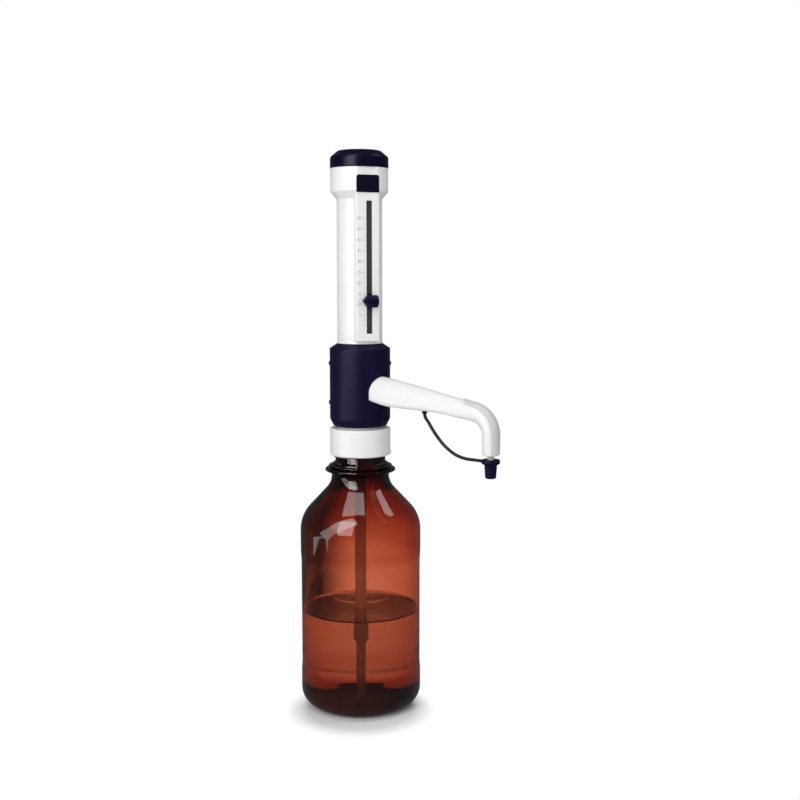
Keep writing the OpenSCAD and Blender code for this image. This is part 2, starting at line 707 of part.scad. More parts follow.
// Space behind the panel that the pointer's carriage slides in
module slider_channel() {
    w = carriage_w + 1;
    translate([channel_back, slot_y - w / 2, slot_z - 1]) cube([channel_front - channel_back, w, slot_top - slot_z + 1.8]);
}

module outer_sleeve() {
    inner = sleeve_r - sleeve_wall;
    flare_h = 2;
    color([0.96, 0.96, 0.95])
        on_panel()
            difference() {
                union() {
                    rotate_extrude($fn = seg)
                        polygon([[0, sleeve_z], [sleeve_r + 0.7, sleeve_z], [sleeve_r, sleeve_z + flare_h],
                            [sleeve_r, sleeve_top], [0, sleeve_top]]);
                    translate([0, -panel_w / 2, panel_z]) cube([panel_d, panel_w, sleeve_top - panel_z]);
                }
                rod(inner, sleeve_z - 1, sleeve_top + 1);
                slider_channel();
                translate([channel_front - 0.5, slot_y - slot_w / 2, slot_z]) cube([5, slot_w, slot_top - slot_z]);
            }
}

module rack_strip() {
    color([0.28, 0.28, 0.29])
        on_panel() translate([channel_back, slot_y - strip_w / 2, slot_z - 0.8])
            cube([strip_t, strip_w, slot_top - slot_z + 1.4]);
}

module volume_slider() {
    back = channel_back + strip_t + play;
    front = channel_front - play;
    boss_h = 8;
    color([0.16, 0.15, 0.3])
        on_panel()
            difference() {
                union() {
                    translate([back, slot_y - carriage_w / 2, pointer_z - carriage_h / 2])
                        cube([front - back, carriage_w, carriage_h]);
                    translate([front - eps, slot_y - slot_w / 2 + play, pointer_z - boss_h / 2])
                        cube([panel_d + 0.2 - front, slot_w - 2 * play, boss_h]);
                }
                translate([back - 1, slot_y, pointer_z]) rotate([0, 90, 0]) cylinder(r = pin_r + fit, h = 8, $fn = seg);
            }
}

module pointer_knob() {
    face = panel_d + knob_gap;
    half_h = 5.05;
    color([0.12, 0.12, 0.3])
        on_panel() translate([face, slot_y, pointer_z]) {
            rotate([90, 0, 90])
                difference() {
                    linear_extrude(height = knob_t)
                        polygon([[-7, 0.3], [-3, half_h], [5.1, half_h], [5.9, half_h - 0.8], [5.9, 0.8 - half_h],
                            [5.1, -half_h], [-3, -half_h]]);
                    // slanted faces above and below the ridge
                    for (s = [-1, 1])
                        translate([0, s * half_h, knob_t]) rotate([s * 40, 0, 0]) cube([20, 4, 4], center = true);
                }
            rotate([0, -90, 0]) cylinder(r = pin_r, h = knob_gap + (channel_front - channel_back) - strip_t - press_travel + 1, $fn = seg);
        }
}

// Outline of the head's solid: a chamfered cylinder with the panel's block run up its front
module head_shell() {
    spigot_top_r = sleeve_r - sleeve_wall - 0.05;
    color([0.97, 0.97, 0.96])
        difference() {
            union() {
                rotate_extrude($fn = seg)
                    polygon([[0, sleeve_top], [sleeve_r, sleeve_top], [head_r, sleeve_top + head_chamfer_h],
                        [head_r, head_top], [0, head_top]]);
                on_panel() translate([0, -panel_w / 2, sleeve_top]) cube([panel_d, panel_w, head_chamfer_h + 1]);
                rod(spigot_top_r, sleeve_top - 7.5, sleeve_top + eps);
            }
            on_panel() translate([panel_d, -head_r, sleeve_top - 1]) cube([10, 2 * head_r, head_h + 2]);
            difference() {
                rod(head_r - head_wall, sleeve_top + head_chamfer_h + 1, head_top + 1);
                on_panel() translate([panel_d - head_wall, -head_r, sleeve_top]) cube([10, 2 * head_r, head_h + 2]);
            }
            rod(sleeve_r - sleeve_wall - 2, sleeve_top + head_floor_h, head_top);
            rod(spigot_top_r - 2, sleeve_top - 8, sleeve_top);
            rod(rod_r + 0.02, sleeve_top - 1, head_top);
        }
}

module label_plate() {
    plate_w = panel_w - 1;
    z0 = sleeve_top + 4.4;
    z1 = sleeve_top + 18.3;
    corner = 2;
    color([0.09, 0.09, 0.17])
        on_panel() translate([panel_d, 0, 0]) rotate([90, 0, 90])
            linear_extrude(height = 0.6)
                polygon(concat([[-plate_w / 2, z0], [plate_w / 2, z0]],
                    arc(plate_w / 2 - corner, z1 - corner, corner, 0, 90, 6),
                    arc(-plate_w / 2 + corner, z1 - corner, corner, 90, 180, 6)));
}

module piston_rod() {
    color([0.9, 0.9, 0.88]) rod(rod_r, cylinder_z + piston_h - 6, head_top - 3);
}

// Grooves in the piston that its two seals sit in
seal_h = 2;
seal_zs = [cylinder_z + 2.5, cylinder_z + piston_h - 4.5];
module piston() {
    color([0.95, 0.95, 0.95])
        difference() {
            rod(bore_r - 0.3, cylinder_z + 0.3, cylinder_z + piston_h);
            for (z = seal_zs) tube(bore_r + 1, bore_r - 1.6, z, z + seal_h);
            rod(rod_r + 0.02, cylinder_z + piston_h - 6, cylinder_z + piston_h + 1);
        }
}

module piston_seals() {
    color([0.2, 0.2, 0.2]) for (z = seal_zs) tube(bore_r - fit, bore_r - 1.58, z + 0.02, z + seal_h - 0.02);
}

module rod_nut() {
    z0 = sleeve_top + head_floor_h;
    color([0.75, 0.75, 0.77])
        difference() {
            rod(rod_r * 2, z0, z0 + 5, 6);
            rod(rod_r + 0.02, z0 - 1, z0 + 6);
        }
}

module calibration_nut() {
    z0 = sleeve_top + head_floor_h + 5.3;
    nut_h = 8;
    nut_r = 12;
    color([0.2, 0.2, 0.22])
        difference() {
            rod(nut_r, z0, z0 + nut_h);
            rod(rod_r + fit, z0 - 1, z0 + nut_h + 1);
            for (i = [0:23])
                rotate([0, 0, 15 * i]) translate([nut_r + 0.5, 0, z0 - 1]) cylinder(r = 1, h = nut_h + 2, $fn = 16);
        }
}

module top_cap() {
    z0 = head_top + 0.05;
    chamfer_z = z0 + cap_h * 0.6;
    skirt = 4.4;
    skirt_r = head_r - head_wall - 2.2;
    top = z0 + cap_h;
    flat_r = 17.6;
    color([0.12, 0.11, 0.24])
        rotate_extrude($fn = seg)
            polygon([[skirt_r, z0 - skirt], [skirt_r, z0], [cap_r - 0.3, z0], [cap_r, z0 + 0.3], [cap_r, chamfer_z],
                [flat_r, top - 0.6], [flat_r * 0.5, top - 0.15], [0, top], [0, top - 2.6], [flat_r - 1.5, top - 2.6],
                [skirt_r - 2, chamfer_z - 0.6], [skirt_r - 2, z0 - skirt]]);
}

bottle();
mouth_gasket();
swivel_hub();
adapter_collar();
vent_plug();
swivel_retainer();
valve_housing();
housing_clips();
valve_block();
suction_seat();
suction_ball();
discharge_valve();
discharge_ball();
discharge_plug();
tube_nut();
filling_tube_upper();
filling_tube_lower();
barrel_gasket();
glass_barrel();
guard_flange();
barrel_guard();
barrel_clamp_nut();
rod_guide();
arm_shell();
nozzle_hood();
discharge_tube();
discharge_nut();
nozzle_tip();
nozzle_cap();
tether();
tether_anchor();
outer_sleeve();
rack_strip();
volume_slider();
pointer_knob();
head_shell();
label_plate();
piston_rod();
piston();
piston_seals();
rod_nut();
calibration_nut();
top_cap();
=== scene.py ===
"""Bottle-top dispenser on its amber bottle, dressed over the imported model.

The outlines below are in millimetres, and each piece is scaled to metres once, when it is finished.
"""

import math

import bmesh
import bpy
import numpy as np
from bmesh.types import BMEdge, BMFace, BMVert
from bpy.props import FloatProperty, FloatVectorProperty, IntProperty, PointerProperty
from mathutils import Matrix, Vector


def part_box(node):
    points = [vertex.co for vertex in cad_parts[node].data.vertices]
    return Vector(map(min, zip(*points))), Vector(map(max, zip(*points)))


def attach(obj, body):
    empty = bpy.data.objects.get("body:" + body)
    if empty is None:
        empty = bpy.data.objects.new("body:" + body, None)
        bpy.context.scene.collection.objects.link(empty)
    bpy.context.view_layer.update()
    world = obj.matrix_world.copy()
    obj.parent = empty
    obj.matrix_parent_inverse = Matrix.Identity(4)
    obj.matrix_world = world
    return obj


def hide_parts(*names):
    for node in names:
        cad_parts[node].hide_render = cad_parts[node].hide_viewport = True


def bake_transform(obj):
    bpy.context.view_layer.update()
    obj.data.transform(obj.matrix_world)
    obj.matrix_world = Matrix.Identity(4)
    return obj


bl_info = {
    "name": "Bottle-top dispenser",
    "version": (1, 0, 0),
    "blender": (4, 5, 0),
    "location": "3D View > Sidebar > Dispenser",
    "description": "Builds a bottle-top dispenser on an amber bottle, piece by piece",
    "category": "Object",
}

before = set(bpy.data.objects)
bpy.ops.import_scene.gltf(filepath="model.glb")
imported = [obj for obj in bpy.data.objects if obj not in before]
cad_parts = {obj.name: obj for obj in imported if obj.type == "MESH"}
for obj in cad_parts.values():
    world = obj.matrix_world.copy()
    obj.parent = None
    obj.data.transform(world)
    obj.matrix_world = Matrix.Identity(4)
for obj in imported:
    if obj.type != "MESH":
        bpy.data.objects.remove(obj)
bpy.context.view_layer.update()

MM = 0.001


def low(node):
    """Lowest corner of a node of the model, in millimetres."""
    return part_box(node)[0] / MM


def high(node):
    """Highest corner of a node of the model, in millimetres."""
    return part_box(node)[1] / MM


def tone(red, green, blue):
    """Linear colour of a shade that is given from 0 to 255."""
    shades = [value / 255 for value in (red, green, blue)]
    return tuple(s / 12.92 if s <= 0.04045 else ((s + 0.055) / 1.055) ** 2.4 for s in shades)


# Heights and radii that several pieces share, read from the model
mouth_z = high("bottle").z
bottle_r = high("bottle").x
collar_z = low("adapter_collar").z
collar_top = high("adapter_collar").z
collar_r = -low("adapter_collar").x
housing_z = low("valve_housing").z
housing_top = high("valve_housing").z
housing_r = high("valve_housing").y
sleeve_z = low("outer_sleeve").z
sleeve_top = high("outer_sleeve").z
sleeve_r = 18.6
head_top = high("head_shell").z
head_r = high("head_shell").y
cap_r = high("top_cap").y
cap_top = high("top_cap").z
nozzle_x = (low("nozzle_cap").x + high("nozzle_cap").x) / 2
nozzle_z = high("nozzle_cap").z + 3
knob_z = (low("pointer_knob").z + high("pointer_knob").z) / 2


def turned(degrees, axis="Z"):
    """Turn about an axis through the origin."""
    return Matrix.Rotation(math.radians(degrees), 4, axis)


# The scale panel's own frame: X out of the panel and Y to its right
panel_turn = turned(-30)
panel_d = 22.0
panel_w = 20.0
slot_y = 1.3
slot_w = 4.9


# Sizes and colours

def length_setting(name, description, default):
    """Length in the sidebar, in metres."""
    return FloatProperty(name=name, description=description, default=default, unit="LENGTH")


def colour_setting(name, description, default):
    """Colour in the sidebar."""
    return FloatVectorProperty(
        name=name, description=description, default=default, subtype="COLOR", min=0, max=1)


def strength_setting(name, description, default):
    """Power or strength of a light in the sidebar."""
    return FloatProperty(name=name, description=description, default=default)


class DISPENSER_PG_bottle(bpy.types.PropertyGroup):
    """Sizes and colour of the bottle and of what it holds"""

    glass_wall: length_setting("Glass wall", "Thickness of the bottle's glass", 0.0026)
    liquid_level: length_setting("Liquid level", "Height of the liquid's surface above the table", 0.082)
    glass_tint: colour_setting("Glass tint", "Colour that the glass lets through", (0.671, 0.311, 0.131))
    glass_depth: FloatProperty(
        name="Depth of tint", description="How strongly the glass absorbs, per metre", default=1000, min=0)


class DISPENSER_PG_finishes(bpy.types.PropertyGroup):
    """Colours of the dispenser's pieces"""

    white: colour_setting("White plastic", "Sleeve, head, arm and collar", tone(238, 238, 237))
    navy: colour_setting("Dark blue plastic", "Housing and nozzle cap", tone(17, 12, 47))
    cap: colour_setting("Top cap", "Darker blue of the top cap", tone(11, 9, 36))
    pointer: colour_setting("Pointer", "Pointer knob", tone(11, 12, 45))
    label: colour_setting("Label plate", "Blank plate on the head", tone(10, 8, 33))
    # The hood's grey is painted shade: it stands for the shade on the elbow's far side
    hood: colour_setting("Hood", "Grey hood over the elbow", tone(211, 211, 210))
    # The strip's dark grey is painted shade: it stands for the shade inside the slot
    strip: colour_setting("Rack strip", "Grey strip in the slot", tone(76, 76, 78))
    print_grey: colour_setting("Scale print", "Marks and numbers beside the slot", tone(178, 179, 186))


class DISPENSER_PG_scale(bpy.types.PropertyGroup):
    """Marks and numbers on the scale panel"""

    zero_z: length_setting("Zero mark", "Height of the scale's lowest mark", 0.32204)
    stroke: length_setting("Length", "Length of the whole scale", 0.086)
    volume: IntProperty(
        name="Volume", description="Number at the scale's top, in millilitres", default=50, min=5, max=100)
    number_h: length_setting("Number height", "Height of the numbers", 0.0027)


class DISPENSER_PG_stage(bpy.types.PropertyGroup):
    """Camera, lamps and background"""

    lens: FloatProperty(
        name="Lens", description="Focal length of the camera, in millimetres", default=52.2, min=10)
    eye: FloatVectorProperty(
        name="Camera", description="Place of the camera", default=(0.6439, -0.7153, 0.367), subtype="XYZ",
        unit="LENGTH")
    pitch: FloatProperty(
        name="Pitch", description="How far the camera looks down", default=math.radians(6.4), subtype="ANGLE")
    key_power: strength_setting("Key lamp", "Power of the large lamp at the left", 10)
    fill_power: strength_setting("Fill lamp", "Power of the lamp at the right", 2.5)
    top_power: strength_setting("Top lamps", "Power of the two lamps above", 2.2)
    ambient: strength_setting("Ambient", "Strength of the light from all round", 0.36)
    mirrored: strength_setting("Mirrored", "Strength of the surroundings in glossy reflections", 0.1)
    backlight: strength_setting("Backlight", "Strength of the white background behind glass", 2.2)


# Materials

white_light = (1, 1, 1, 1)


def new_material(name):
    """Material with a Principled shader, and its node tree."""
    material = bpy.data.materials.new(name)
    material.use_nodes = True
    return material, material.node_tree.nodes, material.node_tree.links


def set_inputs(node, values):
    """Sets inputs of a node by their names."""
    for name, value in values.items():
        node.inputs[name].default_value = value


def noise(nodes, links, scale, detail=3.0, roughness=0.5):
    """Noise over the piece's own Object coordinates."""
    place = nodes.new("ShaderNodeTexCoord")
    texture = nodes.new("ShaderNodeTexNoise")
    set_inputs(texture, {"Scale": scale, "Detail": detail, "Roughness": roughness})
    links.new(place.outputs["Object"], texture.inputs["Vector"])
    return texture.outputs["Fac"]


def spread(nodes, links, value, lowest, highest, start=0.3, end=0.7):
    """Maps a value between start and end to another range."""
    node = nodes.new("ShaderNodeMapRange")
    set_inputs(node, {"From Min": start, "From Max": end, "To Min": lowest, "To Max": highest})
    links.new(value, node.inputs["Value"])
    return node.outputs["Result"]


def tinted(nodes, links, value, colour, darker, start=0.3):
    """Colour that wanders a little between two shades."""
    mix = nodes.new("ShaderNodeMix")
    mix.data_type = "RGBA"
    mix.inputs[6].default_value = (*colour, 1)
    mix.inputs[7].default_value = (*(c * darker for c in colour), 1)
    links.new(spread(nodes, links, value, 0, 1, start), mix.inputs[0])
    return mix.outputs[2]


def bump(nodes, links, value, depth, strength=0.5, under=None):
    """Bump of a real depth, in metres."""
    node = nodes.new("ShaderNodeBump")
    set_inputs(node, {"Distance": depth, "Strength": strength})
    links.new(value, node.inputs["Height"])
    if under is not None:
        links.new(under, node.inputs["Normal"])
    return node.outputs["Normal"]


def mixed(nodes, links, share, shown, other):
    """One shader, with a share of another over it."""
    mix = nodes.new("ShaderNodeMixShader")
    links.new(share, mix.inputs["Fac"])
    links.new(shown, mix.inputs[1])
    links.new(other, mix.inputs[2])
    return mix.outputs["Shader"]


def moulded_plastic(name, colour, roughness, specular, grain=1600, grain_depth=0.00001, darker=0.95):
    """Moulded plastic: faint flow marks in its colour, uneven gloss and a fine mould grain."""
    material, nodes, links = new_material(name)
    shader = nodes["Principled BSDF"]
    set_inputs(shader, {"Specular IOR Level": specular})
    flow = noise(nodes, links, 35, 4)
    links.new(tinted(nodes, links, flow, colour, darker), shader.inputs["Base Color"])
    gloss = noise(nodes, links, 140, 5, 0.6)
    links.new(spread(nodes, links, gloss, roughness - 0.05, roughness + 0.07), shader.inputs["Roughness"])
    wave = bump(nodes, links, noise(nodes, links, 90, 2), 0.00003, 0.3)
    fine = bump(nodes, links, noise(nodes, links, grain, 2), grain_depth, 0.5, wave)
    links.new(fine, shader.inputs["Normal"])
    return material


def rubber(name, colour):
    """Soft black rubber with a dull, slightly dusty skin."""
    material, nodes, links = new_material(name)
    shader = nodes["Principled BSDF"]
    set_inputs(shader, {"Specular IOR Level": 0.3, "Sheen Weight": 0.08})
    dust = noise(nodes, links, 260, 5, 0.7)
    links.new(tinted(nodes, links, dust, colour, 0.6), shader.inputs["Base Color"])
    links.new(spread(nodes, links, dust, 0.5, 0.68), shader.inputs["Roughness"])
    links.new(bump(nodes, links, noise(nodes, links, 2400, 3), 0.00002, 0.6), shader.inputs["Normal"])
    return material


def amber_glass(settings):
    """Moulded amber glass, whose colour lies in its depth, so that its edges are nearly black."""
    material, nodes, links = new_material("amber_glass")
    shader = nodes["Principled BSDF"]
    set_inputs(shader, {"Base Color": white_light, "Transmission Weight": 1, "IOR": 1.5})
    links.new(spread(nodes, links, noise(nodes, links, 60, 3), 0.0, 0.03), shader.inputs["Roughness"])
    links.new(bump(nodes, links, noise(nodes, links, 24, 2), 0.0003, 0.12), shader.inputs["Normal"])
    depth = nodes.new("ShaderNodeVolumeAbsorption")
    set_inputs(depth, {"Color": (*settings.glass_tint, 1), "Density": settings.glass_depth})
    links.new(depth.outputs["Volume"], nodes["Material Output"].inputs["Volume"])
    return material


def clear_body(name, colour, ior):
    """Clear liquid or glass, with a faint ripple in its surface."""
    material, nodes, links = new_material(name)
    shader = nodes["Principled BSDF"]
    set_inputs(shader, {"Base Color": (*colour, 1), "Transmission Weight": 1, "IOR": ior})
    links.new(spread(nodes, links, noise(nodes, links, 120, 3), 0.0, 0.04), shader.inputs["Roughness"])
    links.new(bump(nodes, links, noise(nodes, links, 60, 2), 0.00002, 0.3), shader.inputs["Normal"])
    return material


def milky_tube(name, colour):
    """Fluoropolymer tube: milky, half see-through and slightly uneven."""
    material, nodes, links = new_material(name)
    shader = nodes["Principled BSDF"]
    set_inputs(shader, {"Transmission Weight": 0.35, "IOR": 1.35})
    cloud = noise(nodes, links, 60, 2)
    links.new(tinted(nodes, links, cloud, colour, 0.95), shader.inputs["Base Color"])
    links.new(spread(nodes, links, cloud, 0.22, 0.28), shader.inputs["Roughness"])
    links.new(bump(nodes, links, noise(nodes, links, 600, 2), 0.000005, 0.2), shader.inputs["Normal"])
    return material


def ceramic(name, colour):
    """Fired and ground ceramic: hard, even and faintly speckled."""
    material, nodes, links = new_material(name)
    shader = nodes["Principled BSDF"]
    set_inputs(shader, {"Specular IOR Level": 0.6})
    speckle = noise(nodes, links, 1200, 2)
    links.new(tinted(nodes, links, speckle, colour, 0.85, 0.45), shader.inputs["Base Color"])
    links.new(spread(nodes, links, noise(nodes, links, 300, 3), 0.16, 0.26), shader.inputs["Roughness"])
    return material


def steel(name):
    """Turned steel with uneven gloss and fine tool marks."""
    material, nodes, links = new_material(name)
    shader = nodes["Principled BSDF"]
    set_inputs(shader, {"Base Color": (*tone(196, 198, 200), 1), "Metallic": 1})
    marks = noise(nodes, links, 800, 2)
    links.new(spread(nodes, links, marks, 0.2, 0.36), shader.inputs["Roughness"])
    links.new(bump(nodes, links, marks, 0.00001, 0.5), shader.inputs["Normal"])
    return material


def finish_of(slot):
    """Material of a named slot, made once."""
    if slot in bpy.data.materials and bpy.data.materials[slot].get("dressed"):
        return bpy.data.materials[slot]
    if slot in bpy.data.materials:
        bpy.data.materials[slot].name = slot + "_model"
    colours = bpy.context.scene.dispenser_finishes
    # Colour, roughness and gloss, and for some the scale and depth of the grain and the darker shade
    plastics = {
        # Opaque near-black material on the bottle's inner floor: painted shade of the dark thick base and the
        # shadow under it
        "amber_floor_painted_shade": (tone(20, 13, 9), 0.3, 0.1),
        "white_plastic": (colours.white, 0.34, 0.4, 1600, 0.00001, 0.97),
        "ivory_plastic": (tone(226, 224, 214), 0.42, 0.35),
        "navy_plastic": (colours.navy, 0.36, 0.13, 900, 0.000003, 0.92),
        "cap_blue": (colours.cap, 0.24, 0.12, 900, 0.000003, 0.92),
        "pointer_blue": (colours.pointer, 0.3, 0.12, 900, 0.000003, 0.92),
        "label_blue": (colours.label, 0.45, 0.1, 2600, 0.00001, 0.9),
        # Grey of the hood: painted shade of the elbow's far side
        "light_grey_plastic": (colours.hood, 0.4, 0.35),
        # Dark grey of the rack strip and of two nuts inside; on the strip it is painted shade of the slot's
        # inside
        "dark_grey_plastic": (colours.strip, 0.45, 0.3),
        "scale_print": (colours.print_grey, 0.5, 0.2, 3000),
    }
    makers = {
        "amber_glass": lambda: amber_glass(bpy.context.scene.dispenser_bottle),
        "liquid": lambda: clear_body("liquid", (0.66, 0.6, 0.56), 1.33),
        "clear_glass": lambda: clear_body("clear_glass", (0.96, 0.99, 0.98), 1.47),
        "black_rubber": lambda: rubber("black_rubber", tone(16, 16, 18)),
        "ceramic_parts": lambda: ceramic("ceramic_parts", tone(238, 234, 222)),
        "valve_balls": lambda: ceramic("valve_balls", tone(150, 28, 40)),
        "clear_tube": lambda: milky_tube("clear_tube", tone(224, 226, 222)),
        "steel": lambda: steel("steel"),
    }
    material = moulded_plastic(slot, *plastics[slot]) if slot in plastics else makers[slot]()
    material["dressed"] = True
    return material


# Shapes

def arc(cx, cz, radius, start, end, steps=12):
    """Points of an arc in an outline, with its angles in degrees."""
    angles = [math.radians(start + (end - start) * i / steps) for i in range(steps + 1)]
    return [(cx + radius * math.cos(a), cz + radius * math.sin(a)) for a in angles]


def only(kind, items):
    """Those of the items that are of one kind."""
    return [item for item in items if isinstance(item, kind)]


def lathe(outline, steps=128, closed=True, segments=3):
    """Spins an outline of (radius, height) round Z; a third number rounds that corner."""
    bm = bmesh.new()
    ring = [bm.verts.new((point[0], 0, point[1])) for point in outline]
    edges = [bm.edges.new(pair) for pair in zip(ring, ring[1:])]
    if closed:
        edges.append(bm.edges.new((ring[-1], ring[0])))
    bmesh.ops.spin(bm, geom=ring + edges, cent=(0, 0, 0), axis=(0, 0, 1), angle=math.tau, steps=steps,
                   use_merge=True)
    bmesh.ops.remove_doubles(bm, verts=bm.verts, dist=0.0001)
    bmesh.ops.recalc_face_normals(bm, faces=bm.faces)
    for point in outline:
        if len(point) > 2:
            rims = [e for e in bm.edges if all(
                abs(v.co.z - point[1]) < 0.001 and abs(v.co.xy.length - point[0]) < 0.001 for v in e.verts)]
            bmesh.ops.bevel(bm, geom=rims, offset=point[2], offset_type="OFFSET", segments=segments,
                            profile=0.5, affect="EDGES", material=-1, clamp_overlap=True)
    return bm


def loft(stations, joined=False):
    """Extrudes a ring of points through all its stations; joined ties the last station to the first."""
    bm = bmesh.new()
    row = [bm.verts.new(point) for point in stations[0]]
    edges = [bm.edges.new(pair) for pair in zip(row, row[1:] + row[:1])]
    first = list(edges)
    for points in stations[1:]:
        made = bmesh.ops.extrude_edge_only(bm, edges=edges)["geom"]
        fresh = set(only(BMVert, made))
        edges = [edge for edge in only(BMEdge, made) if all(v in fresh for v in edge.verts)]
        row = [next(e.other_vert(v) for e in v.link_edges if e.other_vert(v) in fresh) for v in row]
        for vert, point in zip(row, points):
            vert.co = point
    if joined:
        bmesh.ops.bridge_loops(bm, edges=first + edges)
    else:
        bmesh.ops.holes_fill(bm, edges=[e for e in bm.edges if e.is_boundary], sides=0)
    bmesh.ops.recalc_face_normals(bm, faces=bm.faces)
    return bm


def prism(points, base, height):
    """Flat outline of (across, up) at a distance out of the panel, extruded outwards."""
    bm = bmesh.new()
    face = bm.faces.new([bm.verts.new((base, across, up)) for across, up in points])
    made = bmesh.ops.extrude_face_region(bm, geom=[face])["geom"]
    bmesh.ops.translate(bm, vec=(height, 0, 0), verts=only(BMVert, made))
    bmesh.ops.recalc_face_normals(bm, faces=bm.faces)
    return bm


def block(lowest, highest):
    """Box between two corners."""
    bm = bmesh.new()
    middle = (Vector(lowest) + Vector(highest)) / 2
    size = Vector(highest) - Vector(lowest)
    matrix = Matrix.Translation(middle) @ Matrix.Diagonal((*size, 1))
    bmesh.ops.create_cube(bm, size=1, matrix=matrix)
    return bm


def round_edges(bm, offset, choose=None, angle=30, segments=3):
    """Bevels the sharp edges, or those of them that choose accepts."""
    sharp = [e for e in bm.edges if len(e.link_faces) == 2 and e.calc_face_angle(0) > math.radians(angle)]
    picked = [e for e in sharp if choose is None or choose(e)]
    bmesh.ops.bevel(bm, geom=picked, offset=offset, offset_type="OFFSET", segments=segments, profile=0.5,
                    affect="EDGES", material=-1, clamp_overlap=True)
    return bm


def slice_off(bm, place, direction):
    """Cuts off what lies past a plane, and gives the rim of the cut."""
    geom = list(bm.verts) + list(bm.edges) + list(bm.faces)
    cut = bmesh.ops.bisect_plane(
        bm, geom=geom, dist=0.0001, plane_co=place, plane_no=direction, clear_outer=True)
    return only(BMEdge, cut["geom_cut"])


def placed(bm, name):
    """Puts a shape in the scene as an object of its own."""
    mesh = bpy.data.meshes.new(name)
    bm.to_mesh(mesh)
    bm.free()
    obj = bpy.data.objects.new(name, mesh)
    bpy.context.scene.collection.objects.link(obj)
    return obj


def add_to(bm, other):
    """Adds a second shape to the first, as separate skins."""
    mesh = bpy.data.meshes.new("part")
    other.to_mesh(mesh)
    other.free()
    bm.from_mesh(mesh)
    bpy.data.meshes.remove(mesh)


def combine(bm, other, operation):
    """Cuts the second shape out of the first, or joins them to one skin."""
    pair = [placed(shape, "shape") for shape in (bm, other)]
    cut = pair[0].modifiers.new("Cut", "BOOLEAN")
    cut.operation = operation
    cut.solver = "EXACT"
    cut.object = pair[1]
    bpy.context.view_layer.update()
    result = bpy.data.meshes.new_from_object(pair[0].evaluated_get(bpy.context.evaluated_depsgraph_get()))
    out = bmesh.new()
    out.from_mesh(result)
    for item in pair:
        mesh = item.data
        bpy.data.objects.remove(item)
        bpy.data.meshes.remove(mesh)
    bpy.data.meshes.remove(result)
    return out


def piece(bm, name, body, slot, replaces=(), turn=None, sharp=35, even=True, finish=None):
    """Makes the finished object in metres, gives it its material and puts it on its body."""
    if turn is not None:
        bmesh.ops.transform(bm, matrix=turn, verts=bm.verts)
    bmesh.ops.scale(bm, vec=(MM, MM, MM), verts=bm.verts)
    obj = placed(bm, name)
    obj.data.shade_smooth()
    obj.data.set_sharp_from_angle(angle=math.radians(sharp))
    obj.data.materials.append(finish_of(finish or slot))
    if even:
        normals = obj.modifiers.new("Even shading", "WEIGHTED_NORMAL")
        normals.keep_sharp = True
    if body:
        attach(obj, body)
    if replaces:
        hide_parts(*replaces)
    return obj


# Stage

def hide_from(obj, *rays):
    """Hides an object or a lamp from some kinds of ray."""
    for ray in rays:
        setattr(obj, "visible_" + ray, False)


def lamp(name, place, target, size, power):
    """Soft rectangular lamp that looks at a point."""
    light = bpy.data.lights.new(name, "AREA")
    light.shape = "RECTANGLE"
    light.size, light.size_y = size
    light.energy = power
    obj = bpy.data.objects.new(name, light)
    obj.location = place
    obj.rotation_euler = (Vector(target) - Vector(place)).to_track_quat("-Z", "Y").to_euler()
    bpy.context.scene.collection.objects.link(obj)
    return obj


